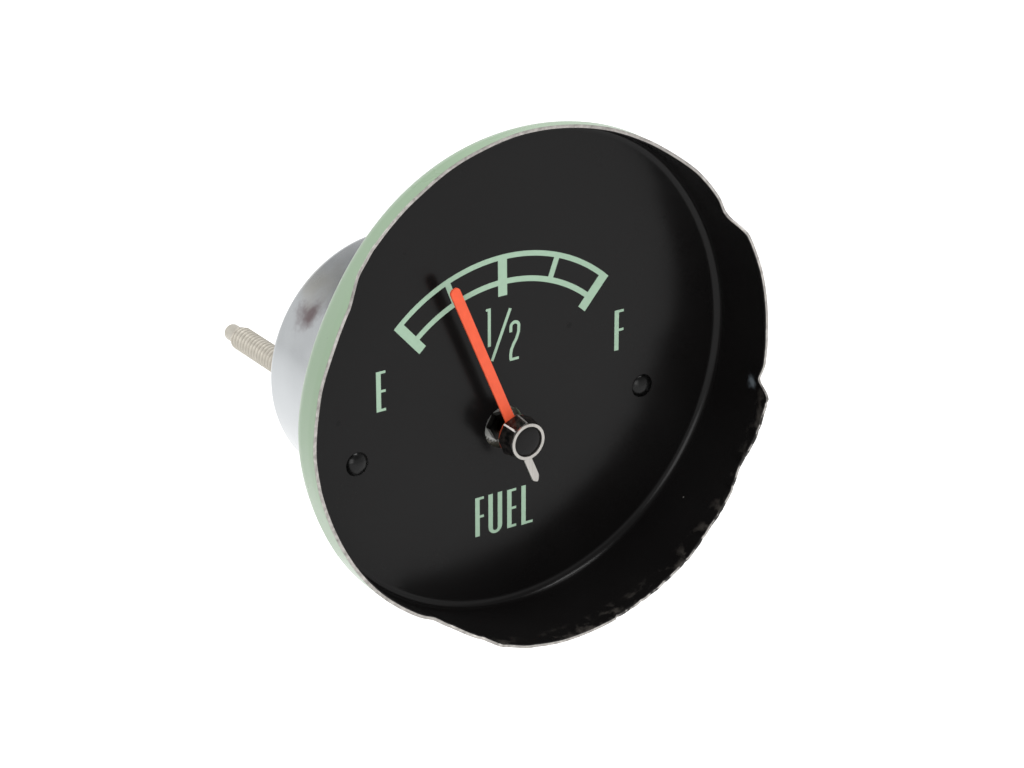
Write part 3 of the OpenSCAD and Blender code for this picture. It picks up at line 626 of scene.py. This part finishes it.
class GaugeSizes(bpy.types.PropertyGroup):
    """Sizes and colours of the gauge"""
    print_height: bpy.props.FloatProperty(
        name="Print thickness", description="Thickness of the ink on the dial",
        default=0.03, min=0.01, max=0.1)
    burr: bpy.props.FloatProperty(
        name="Rim burr", description="Size of the fine tears along the cut rim, in mm",
        default=0.2, min=0.0, max=0.5)
    thread_pitch: bpy.props.FloatProperty(
        name="Thread pitch", description="Pitch of the terminal studs' thread, in mm",
        default=1.058, min=0.5, max=2.0)
    rim_steps: bpy.props.IntProperty(
        name="Rim steps", description="Number of steps round the trimmed cup",
        default=720, min=240, max=1080)
    cup_colour: bpy.props.FloatVectorProperty(
        name="Cup colour", description="Colour of the enamel outside the cup",
        default=colour("#94AD90")[:3], size=3, min=0.0, max=1.0, subtype='COLOR')
    ink_colour: bpy.props.FloatVectorProperty(
        name="Ink colour", description="Colour of the print on the dial",
        default=colour("#AAC8AF")[:3], size=3, min=0.0, max=1.0, subtype='COLOR')
    pointer_colour: bpy.props.FloatVectorProperty(
        name="Pointer colour", description="Colour of the paint on the pointer",
        default=colour("#F9623F")[:3], size=3, min=0.0, max=1.0, subtype='COLOR')


class GaugeStage(bpy.types.PropertyGroup):
    """Size and colour of the stage"""
    floor_drop: bpy.props.FloatProperty(
        name="Floor drop", description="Distance of the floor under the cup",
        default=0.05, min=0.0, max=1.0, unit='LENGTH')
    floor_colour: bpy.props.FloatVectorProperty(
        name="Floor colour", description="Colour of the plain floor and backdrop",
        default=(0.93, 0.93, 0.93), size=3, min=0.0, max=1.0, subtype='COLOR')


# One operator for each piece or group of like pieces

class GAUGE_OT_stage(bpy.types.Operator):
    """Floor, lamps and camera"""
    bl_idname = "gauge.stage"
    bl_label = "Stage"

    def execute(self, context):
        stage = context.scene.gauge_stage
        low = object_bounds()[0]
        deselect()
        bpy.ops.mesh.primitive_plane_add(size=6.0, location=(0.0, 0.0, low[2] - stage.floor_drop))
        floor = bpy.context.object
        floor.name = "floor"
        made, tree, shader, _ = start_material("matt_floor_paper", roughness=0.9, specular=0.1)
        shader.inputs["Base Color"].default_value = (*stage.floor_colour, 1.0)
        # The paper looks white to the camera and in reflections, and still takes the shadow
        path = add(tree, "LightPath").node.outputs
        seen = add(tree, "Math", {0: path["Is Camera Ray"], 1: path["Is Glossy Ray"]},
                   operation='MAXIMUM')
        seen = add(tree, "Math", {0: seen, 1: path["Is Transmission Ray"]}, operation='MAXIMUM')
        lift = add(tree, "Math", {0: seen, 1: 0.45}, operation='MULTIPLY')
        shader.inputs["Emission Color"].default_value = (1.0, 1.0, 1.0, 1.0)
        tree.links.new(lift, shader.inputs["Emission Strength"])
        floor.data.materials.append(made)
        floor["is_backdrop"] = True

        world = context.scene.world or bpy.data.worlds.new("studio")
        context.scene.world = world
        world.use_nodes = True
        tree = world.node_tree
        tree.nodes.clear()
        # White as a background and in reflections near the horizon, dimmer towards the ceiling
        way = add(tree, "TexCoord", output="Generated")
        up = add(tree, "SeparateXYZ", {0: way}, 2)
        ceiling = add(tree, "MapRange", {0: up, 1: 0.3, 2: 0.6, 3: 1.0, 4: 0.4},
                      interpolation_type='SMOOTHSTEP')
        path = add(tree, "LightPath").node.outputs
        mirrored = add(tree, "MapRange", {0: path["Is Glossy Ray"], 3: 0.55, 4: ceiling})
        seen = add(tree, "Math", {0: path["Is Camera Ray"], 1: path["Is Transmission Ray"]},
                   operation='MAXIMUM')
        strength = add(tree, "MapRange", {0: seen, 3: mirrored, 4: 1.0})
        light = add(tree, "Background", {0: (1.0, 1.0, 1.0, 1.0), 1: strength})
        add(tree, "OutputWorld", {0: light})

        for name, spot, size, power in (
                ("overhead_panel", (0.15, -0.15, 0.9), 0.4, 4.4),
                ("left_panel", (-0.7, -0.85, 0.45), 0.6, 4.2)):
            deselect()
            bpy.ops.object.light_add(type='AREA', location=spot)
            lamp = bpy.context.object
            lamp.name = name
            lamp.data.shape = 'SQUARE'
            lamp.data.size = size
            lamp.data.energy = power
            aim = Vector((0.0, DIAL_Y * MM, 0.008)) - lamp.location
            lamp.rotation_euler = aim.to_track_quat('-Z', 'Y').to_euler()

        azimuth, elevation = math.radians(CAMERA_AZIMUTH), math.radians(CAMERA_ELEVATION)
        back = Vector((math.sin(azimuth) * math.cos(elevation),
                       -math.cos(azimuth) * math.cos(elevation), math.sin(elevation)))
        bpy.ops.object.camera_add(location=place(*CAMERA_TARGET) + back * CAMERA_DISTANCE)
        camera = bpy.context.object
        camera.rotation_euler = (-back).to_track_quat('-Z', 'Y').to_euler()
        camera.data.sensor_width = CAMERA_SENSOR
        camera.data.lens = CAMERA_LENS
        camera.data.clip_start = 0.01
        context.scene.camera = camera
        context.scene.view_settings.view_transform = 'Standard'
        return {'FINISHED'}


class GAUGE_OT_dial_cup(bpy.types.Operator):
    """Drawn cup with its hand-trimmed rim"""
    bl_idname = "gauge.dial_cup"
    bl_label = "Dial cup"

    def execute(self, context):
        sizes = context.scene.gauge_sizes
        wall = [CUP_CORNER + 0.1 + WALL_STEP * k for k in range(WALL_ROWS)]
        base, top = wall[0], wall[-1] + 0.3
        floor_radii = (0.0, *FLOOR_RADII)
        outline = [(r, -SHEET) for r in floor_radii]
        outer_bend = CUP_CORNER + SHEET
        outline += bend_points((CUP_R - outer_bend, CUP_CORNER), outer_bend, 10)
        outline += [(CUP_R, h) for h in wall]
        outline += [(CUP_R - 0.07, top), (CUP_R - 0.3, top + 0.03), (CUP_R - 0.58, top),
                    (CUP_R - SHEET + 0.03, top - 0.1)]
        outline += [(CUP_R - SHEET, h) for h in reversed(wall)]
        middle = (CUP_R - SHEET - INNER_BEND, INNER_BEND)
        outline += reversed(bend_points(middle, INNER_BEND, 10))
        outline += [(r, 0.0) for r in reversed(floor_radii)]
        cup = lathe("trimmed_dial_cup", outline, sizes.rim_steps, CUP_MIDDLE)

        # Finishes are laid on the plain shell: green outside, black inside, bare steel on the cut
        cup.data.materials.append(shared("stoved_green_enamel", green_enamel, sizes.cup_colour))
        cup.data.materials.append(shared("satin_black_paint", satin_black))
        cup.data.materials.append(shared("sheared_steel", cut_steel))
        black, bare = 1, 2
        for face in cup.data.polygons:
            x, z, height = measured(face.center, CUP_MIDDLE)
            outward = x * face.normal.x + z * face.normal.z
            if height > wall[-1] and math.hypot(x, z) > CUP_R - CUT_WIDTH:
                face.material_index = bare
            elif face.normal.y < -0.3 or (outward < 0.0 and height > -0.1):
                face.material_index = black

        # The straight wall is stretched or shortened to the cut edge, and bent in near it
        for vertex in cup.data.vertices:
            x, z, height = measured(vertex.co, CUP_MIDDLE)
            degrees = math.degrees(math.atan2(x, z))
            radius = math.hypot(x, z)
            pressed = bumps(degrees, PRESSED_WALL)
            moved = radius - pressed * min(1.0, max(0.0, (radius - PRESS_START) / PRESS_REACH))
            if height > base + 0.01:
                # Keeps the cut edge on the line it is seen on, also where the wall is pressed in
                lean = math.radians(degrees)
                sight = SIGHT_RIGHT * math.sin(lean) + SIGHT_TOP * math.cos(lean)
                cut = rim_height(degrees, sizes.burr) + pressed * sight
                cut = min(cut, RIM_LIMIT - 0.03)
                height = base + (height - base) * (cut - base) / (top - base)
                moved -= rim_bend(degrees, cut - height)
            if radius > FOOT_START:
                moved -= foot_shift(degrees, height)
            point = polar(moved, degrees, CUP_MIDDLE)
            vertex.co = place(point[0], height, min(point[1], CUP_MIDDLE[1] + CUP_R))

        hole = lathe("spindle_hole_cutter",
                     [(0.0, -3.0), (HOLE_R, -3.0), (HOLE_R, 3.0), (0.0, 3.0)], 72)
        apply_modifier(cup, 'BOOLEAN', operation='DIFFERENCE', solver='EXACT', object=hole)
        bpy.data.objects.remove(hole)
        for face in cup.data.polygons:
            x, z, height = measured(face.center)
            if math.hypot(x, z) < HOLE_R + 0.1 and abs(face.normal.y) < 0.5 and z < 1.0:
                face.material_index = black

        soften(cup, 38.0)
        finish_piece(cup, "housing", None, ("dial_cup",))
        return {'FINISHED'}


class GAUGE_OT_dial_print(bpy.types.Operator):
    """Scale, letters and figures printed on the dial"""
    bl_idname = "gauge.dial_print"
    bl_label = "Dial print"

    def execute(self, context):
        sizes = context.scene.gauge_sizes
        thick = sizes.print_height
        ink = shared("screen_printed_ink", dial_ink, sizes.ink_colour)

        def band(outer, inner, reach):
            return (ring_points(outer, count=64, start=-reach, end=reach)
                    + ring_points(inner, count=64, start=reach, end=-reach))

        scale = [
            [band(33.67, 32.66, 43.2)], [band(28.94, 27.88, 42.9)],
            [bar(-41.9, 1.86, 25.85, 33.62)], [bar(41.5, 1.92, 25.8, 33.62)],
            [bar(-0.5, 1.92, 25.75, 33.62)],
            [bar(-21.3, 1.15, 28.6, 33.0)], [bar(20.6, 1.15, 28.6, 33.0)],
        ]
        strips = [flat_piece(f"scale_strip_{i}", outline, 0.002, thick + 0.0004 * i)
                  for i, outline in enumerate(scale)]
        finish_piece(join(strips, "printed_scale"), "housing", ink)

        stem, arm = 0.97, 0.5

        def letter(left, low, width, tall, arms):
            """A stem with arms to the right, each at a part from 0 to 1 of the letter's height."""
            right = left + width
            outline = [(left, low)] if 0.0 in arms else [(left, low), (left + stem, low)]
            for part in arms:
                under = low + (tall - arm) * part
                corners = [(left + stem, under), (right, under), (right, under + arm),
                           (left + stem, under + arm)]
                outline += corners[0 if part > 0.0 else 1:4 if part < 1.0 else 3]
            if 1.0 not in arms:
                outline.append((left + stem, low + tall))
            return outline + [(left, low + tall)]

        def letter_u(left, low, width, tall):
            outer, inner = width / 2, width / 2 - stem
            middle = left + outer
            outline = [(left, low + tall)]
            outline += ring_points(outer, (middle, low + outer), 17, -90.0, -270.0)
            outline += [(left + width, low + tall), (left + width - stem, low + tall)]
            outline += ring_points(inner, (middle, low + inner + 0.6), 17, -270.0, -90.0)
            return outline + [(left + stem, low + tall)]

        arms_e, arms_f, arms_l = (0.0, 0.5, 1.0), (0.5, 1.0), (0.0,)
        # Heights on the dial of the figures, and of the foot of the word
        up = 11.8
        line = up - 32.8
        figure_two = [(1.52, up + 6.5)] + ring_points(0.875, (2.4, up + 7.45), 13, -90.0, 80.0)
        figure_two += [(3.2, up + 6.3), (2.75, up + 5.05), (2.1, up + 4.05), (1.65, up + 3.1),
                       (1.5, up + 2.2), (1.5, up + 1.2)]
        shapes = {
            "letter_empty": [letter(-27.0, up - 2.25, 1.95, 7.7, arms_e)],
            "letter_full": [letter(24.62, up - 2.6, 2.05, 8.0, arms_f)],
            "word_letter_1": [letter(-6.35, line + 0.3, 1.9, 7.9, arms_f)],
            "word_letter_2": [letter_u(-3.45, line, 3.03, 8.15)],
            "word_letter_3": [letter(0.7, line + 0.2, 2.0, 7.8, arms_e)],
            "word_letter_4": [letter(3.87, line, 2.52, 8.0, arms_l)],
            "figure_one": [[(-3.45, up + 4.75), (-2.8, up + 4.75), (-2.8, up + 12.15),
                            (-3.75, up + 12.15), (-3.88, up + 11.95), (-3.8, up + 11.7),
                            (-3.45, up + 11.65)]],
            "slash": [stroke([(-2.57, up + 1.83), (1.41, up + 11.2)], 0.62)],
            "figure_two": [stroke(figure_two, 0.62)],
            "figure_two_base": [stroke([(1.32, up + 1.165), (3.26, up + 1.165)], 0.51)],
        }
        letters = [flat_piece(name, outline, 0.002, thick + 0.0004 * i)
                   for i, (name, outline) in enumerate(shapes.items())]
        finish_piece(join(letters, "printed_letters"), "housing", ink)
        return {'FINISHED'}


class GAUGE_OT_rivets(bpy.types.Operator):
    """Two black rivets that hold the can"""
    bl_idname = "gauge.rivets"
    bl_label = "Rivets"

    def execute(self, context):
        paint = shared("gloss_black_lacquer", deep_black, 0.22, "#0C0C0C", 0.2)
        outline = [(0.0, 1.12), (0.6, 1.08), (1.15, 0.93), (1.6, 0.7), (1.95, 0.42), (2.2, 0.16),
                   (2.27, 0.02), (2.2, -0.05), (1.53, -0.05), (1.53, -1.52), (2.3, -1.5),
                   (2.4, -1.7), (2.1, -2.05), (1.3, -2.28), (0.0, -2.35)]
        left = lathe("left_rivet", outline, 48, (-RIVET_X, RIVET_Z))
        rivets = join([left, twin(left, "right_rivet", 2 * RIVET_X)], "domed_rivets")
        soften(rivets, 50.0)
        finish_piece(rivets, "housing", paint, ("dial_rivets",))
        return {'FINISHED'}


class GAUGE_OT_pointer(bpy.types.Operator):
    """Orange pointer blade with its boss"""
    bl_idname = "gauge.pointer"
    bl_label = "Pointer blade"

    def execute(self, context):
        side, shoulder = BLADE_TIP / 2 - BLADE_CORNER, BLADE_LENGTH - BLADE_CORNER
        blade = [(-BLADE_ROOT / 2, 1.0)]
        blade += ring_points(BLADE_CORNER, (-side, shoulder), 9, -90.0, 0.0)
        blade += ring_points(BLADE_CORNER, (side, shoulder), 9, 0.0, 90.0)
        blade += [(BLADE_ROOT / 2, 1.0)]
        turned = [polar(math.hypot(x, z), math.degrees(math.atan2(x, z)) - READING)
                  for x, z in blade]
        boss = [ring_points(BOSS_R), ring_points(BOSS_BORE_R, count=32)]
        # The boss is a little thinner, so that no two faces lie on each other
        parts = [flat_piece("blade_strip", [turned], BLADE_LOW, BLADE_HIGH, BLADE_EDGE),
                 flat_piece("blade_boss", boss, BLADE_LOW, BLADE_HIGH - 0.005, BLADE_EDGE)]
        pointer = join(parts, "orange_pointer")
        soften(pointer, 40.0)
        finish_piece(pointer, "pointer",
                     shared("fluorescent_orange_paint", orange_paint,
                            context.scene.gauge_sizes.pointer_colour), ("pointer_blade",))
        return {'FINISHED'}


class GAUGE_OT_hub(bpy.types.Operator):
    """Eight-sided hub, bright ring with its tail, and cap"""
    bl_idname = "gauge.hub"
    bl_label = "Hub"

    def execute(self, context):
        plastic = shared("moulded_black_plastic", deep_black, 0.32, "#2C2826", 0.12)
        half_side = 180.0 / HUB_SIDES
        deselect()
        bpy.ops.mesh.primitive_cone_add(vertices=HUB_SIDES, radius1=HUB_FOOT_R * MM,
                                        radius2=HUB_TOP_R * MM, depth=HUB_TALL * MM,
                                        location=(0.0, 0.0, 0.0))
        hub = bpy.context.object
        hub.name = "faceted_hub"
        # A cone's first corner lies on +Y, which becomes upright on the dial
        hub.matrix_world = (Matrix.Translation(place(0.0, BLADE_HIGH + HUB_TALL / 2, 0.0))
                            @ Matrix.Rotation(math.radians(90.0), 4, 'X')
                            @ Matrix.Rotation(math.radians(READING + half_side), 4, 'Z'))
        settle(hub)
        apply_modifier(hub, 'BEVEL', width=0.2 * MM, segments=3, limit_method='ANGLE',
                       angle_limit=math.radians(20.0))
        soften(hub, 25.0)
        finish_piece(hub, "pointer", plastic, ("pointer_hub",))
        # Two of the long edges carry a painted highlight, brighter on the left one than on the
        # upper one
        hub.data.materials.append(shared("bared_left_edge", edge_highlight_paint, "#F0EEEA"))
        hub.data.materials.append(shared("bared_upper_edge", edge_highlight_paint, "#7F7D7A"))
        for face in hub.data.polygons:
            facing = math.degrees(math.atan2(face.normal.x, face.normal.z))
            for index, edge in ((1, -READING - half_side), (2, -READING + half_side)):
                if abs(face.normal.y) < 0.45 and abs(facing - edge) < 17.0:
                    face.material_index = index

        root = polar(3.2, 184.0)
        tip = polar(8.6, 166.5)
        end = math.dist(root, tip)
        # Outline of the tail: distance to the right of its middle line, and along it
        tail = [(-0.8, 0.0), (-0.8, end - 1.2), (-0.66, end - 0.75), (-0.3, end - 0.15),
                (-0.1, end), (0.1, end), (0.42, end - 0.28), (0.72, end - 0.65),
                (0.8, end - 0.95), (0.8, 0.0)]
        ahead = ((tip[0] - root[0]) / end, (tip[1] - root[1]) / end)
        placed = [(root[0] + ahead[1] * s + ahead[0] * d, root[1] - ahead[0] * s + ahead[1] * d)
                  for s, d in tail]
        band = [ring_points(RING_R), ring_points(RING_HOLE_R)]
        ring = flat_piece("bright_ring_band", band, RING_LOW, RING_HIGH, RING_EDGE)
        strip = flat_piece("bright_ring_tail", [placed], RING_LOW, RING_HIGH - 0.01, RING_EDGE)
        ring = join([ring, strip], "bright_ring")
        soften(ring, 40.0)
        finish_piece(ring, "pointer",
                     shared("stamped_aluminium", satin_aluminium), ("hub_ring",))

        dome = [(0.0, 7.93), (0.9, 7.92), (1.8, 7.88), (2.4, 7.8), (2.76, 7.71),
                (2.87, RING_LOW), (0.0, RING_LOW)]
        cap = lathe("hub_centre_cap", dome, 64)
        soften(cap, 50.0)
        finish_piece(cap, "pointer", shared("satin_black_paint", satin_black),
                     ("hub_cap",))
        return {'FINISHED'}


class GAUGE_OT_can(bpy.types.Operator):
    """Plated can with its flange and ears"""
    bl_idname = "gauge.can"
    bl_label = "Rear can"

    def execute(self, context):
        mouth = CAN_R + 0.8
        middle = (CAN_R - CAN_CORNER, CAN_REAR + CAN_CORNER)
        outline = [(r, CAN_REAR) for r in (0.0, 12.0, 20.0)]
        outline += bend_points(middle, CAN_CORNER, 8)
        outline += [(CAN_R, -30.0), (CAN_R, -15.0), (CAN_R, -2.2), (CAN_R + 0.25, -1.7),
                    (mouth, -1.5), (mouth, -0.82), (CAN_R - CAN_SHEET, -0.82),
                    (CAN_R - CAN_SHEET, -20.0)]
        outline += reversed(bend_points(middle, CAN_CORNER - CAN_SHEET, 6))
        outline += [(0.0, CAN_REAR + CAN_SHEET)]
        shell = lathe("can_shell", outline, 192)

        # The flange is round, with an ear under each rivet that leaves it at these angles
        below = math.degrees(math.asin(3.9 / FLANGE_R))
        above = math.degrees(math.asin(5.1 / FLANGE_R))
        plate = ring_points(FLANGE_R, count=90, start=above - 90.0, end=90.0 - above)
        plate += ring_points(EAR_R, (RIVET_X, RIVET_Z), 25, 0.0, 180.0)
        plate += ring_points(FLANGE_R, count=90, start=90.0 + below, end=270.0 - below)
        plate += ring_points(EAR_R, (-RIVET_X, RIVET_Z), 25, -180.0, 0.0)
        bore = ring_points(CAN_R - 0.6, count=160)
        flange = flat_piece("can_flange", [plate, bore], FLANGE_LOW, FLANGE_HIGH, FLANGE_EDGE)
        can = join([shell, flange], "plated_can")
        soften(can, 30.0)
        finish_piece(can, "housing", shared("drawn_tin_plate", bright_plate),
                     ("rear_can",))
        return {'FINISHED'}


class GAUGE_OT_studs(bpy.types.Operator):
    """Two threaded terminal studs"""
    bl_idname = "gauge.studs"
    bl_label = "Terminal studs"

    def execute(self, context):
        pitch = context.scene.gauge_sizes.thread_pitch
        start, end = THREAD_START, THREAD_END
        rows = round((start - end) / pitch * 8)
        outline = [(0.0, -37.6), (3.6, -37.6), (3.8, -37.8), (3.8, -39.8), (2.01, -39.8),
                   (2.01, start)]
        outline += [(CREST_R, start + (end - start) * i / rows) for i in range(rows + 1)]
        outline += [(1.72, end - 0.02), (1.69, end - 0.1), (1.69, end - 3.1), (1.6, end - 3.4),
                    (1.35, end - 3.65), (0.9, end - 3.78), (0.0, end - 3.8)]
        stud = lathe("left_stud", outline, 40, (-STUD_X, 0.0))
        # The depth of each point in the thread, kept for the painted shade in its roots
        grime_and_shade = stud.data.attributes.new("grime_and_shade", 'FLOAT', 'POINT')
        for vertex in stud.data.vertices:
            dx, dz, height = measured(vertex.co, (-STUD_X, 0.0))
            radius = math.hypot(dx, dz)
            if radius < CREST_R - 0.01 or height > start - 0.01 or height < end:
                continue
            turn = (height / pitch + math.atan2(dx, dz) / math.tau) % 1.0
            slope = min(1.0, max(0.0, abs(turn - 0.5) * 2.4 - 0.15))
            # The thread tapers off at both ends
            new = min(CREST_R - THREAD_DEPTH * slope, 1.9 + (height - end) * 0.9,
                      2.2 + (start - height) * 0.6)
            grime_and_shade.data[vertex.index].value = slope
            vertex.co.x = (dx * new / radius - STUD_X) * MM
            vertex.co.z = dz * new / radius * MM
        pair = join([stud, twin(stud, "right_stud", 2 * STUD_X)], "threaded_studs")
        soften(pair, 40.0)
        finish_piece(pair, "housing", shared("plated_thread_steel", threaded_steel),
                     ("terminal_studs",))
        return {'FINISHED'}


class GAUGE_OT_movement(bpy.types.Operator):
    """Finishes of the solids that are shown as they are"""
    bl_idname = "gauge.movement"
    bl_label = "Movement finishes"

    def execute(self, context):
        finishes = {
            shared("hardened_spring_steel", spring_steel): ("bearing_lock_washer",),
            shared("zinc_plated_steel", rolled_steel):
                ("spindle", "front_bridge", "stop_pins", "bridge_screws", "movement_frame",
                 "frame_screws", "screw_lock_washers", "stud_retainers"),
            shared("turned_brass", turned_metal, "#A8863F", "#DDBC6A"):
                ("stop_arm", "counterweight", "bridge_pillars", "rear_bearing",
                 "rear_bearing_nut", "frame_spacers", "terminal_tags"),
            # The bush, the front bearing and its nut lie in the hub's shade: their brass and steel
            # are darkened nearly to black as painted shade
            shared("oil_darkened_brass", turned_metal, "#17130E", "#2C251B"):
                ("pointer_bush", "front_bearing"),
            shared("oil_blacked_steel", turned_metal, "#151413", "#2B2A28"): ("bearing_nut",),
            shared("annealed_iron", soft_iron): ("armature", "coil_cores"),
            shared("stamped_aluminium", satin_aluminium): ("damping_disc",),
            shared("pressed_red_fibre", brown_board, "#4A1A12", "#6E2C1F"):
                ("inner_insulators", "outer_insulators"),
            shared("moulded_brown_phenolic", brown_board, "#2A1A12", "#4A3022"):
                ("coil_bobbins",),
            shared("wound_copper_left", wound_copper, 45.0): ("empty_coil",),
            shared("wound_copper_right", wound_copper, -45.0): ("full_coil",),
            shared("woven_red_sleeving", red_sleeving): ("coil_leads",),
        }
        for made, names in finishes.items():
            for name in names:
                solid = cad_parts[name]
                solid.data.materials.clear()
                solid.data.materials.append(made)
        return {'FINISHED'}


class GAUGE_PT_panel(bpy.types.Panel):
    """Lists the gauge's settings and pieces"""
    bl_idname = "GAUGE_PT_panel"
    bl_label = "Fuel gauge"
    bl_space_type = 'VIEW_3D'
    bl_region_type = 'UI'
    bl_category = "Gauge"

    def draw(self, context):
        for group in (context.scene.gauge_sizes, context.scene.gauge_stage):
            for name in group.__annotations__:
                self.layout.prop(group, name)
        for operator in OPERATORS:
            self.layout.operator(operator.bl_idname)


OPERATORS = (GAUGE_OT_stage, GAUGE_OT_dial_cup, GAUGE_OT_dial_print, GAUGE_OT_rivets,
             GAUGE_OT_pointer, GAUGE_OT_hub, GAUGE_OT_can, GAUGE_OT_studs, GAUGE_OT_movement)
CLASSES = (GaugeSizes, GaugeStage, *OPERATORS, GAUGE_PT_panel)


def register():
    for cls in CLASSES:
        bpy.utils.register_class(cls)
    bpy.types.Scene.gauge_sizes = bpy.props.PointerProperty(type=GaugeSizes)
    bpy.types.Scene.gauge_stage = bpy.props.PointerProperty(type=GaugeStage)


def unregister():
    del bpy.types.Scene.gauge_stage
    del bpy.types.Scene.gauge_sizes
    for cls in reversed(CLASSES):
        bpy.utils.unregister_class(cls)


def main():
    register()
    bpy.ops.gauge.stage()
    bpy.ops.gauge.dial_cup()
    bpy.ops.gauge.dial_print()
    bpy.ops.gauge.rivets()
    bpy.ops.gauge.pointer()
    bpy.ops.gauge.hub()
    bpy.ops.gauge.can()
    bpy.ops.gauge.studs()
    bpy.ops.gauge.movement()


if __name__ == "__main__":
    main()
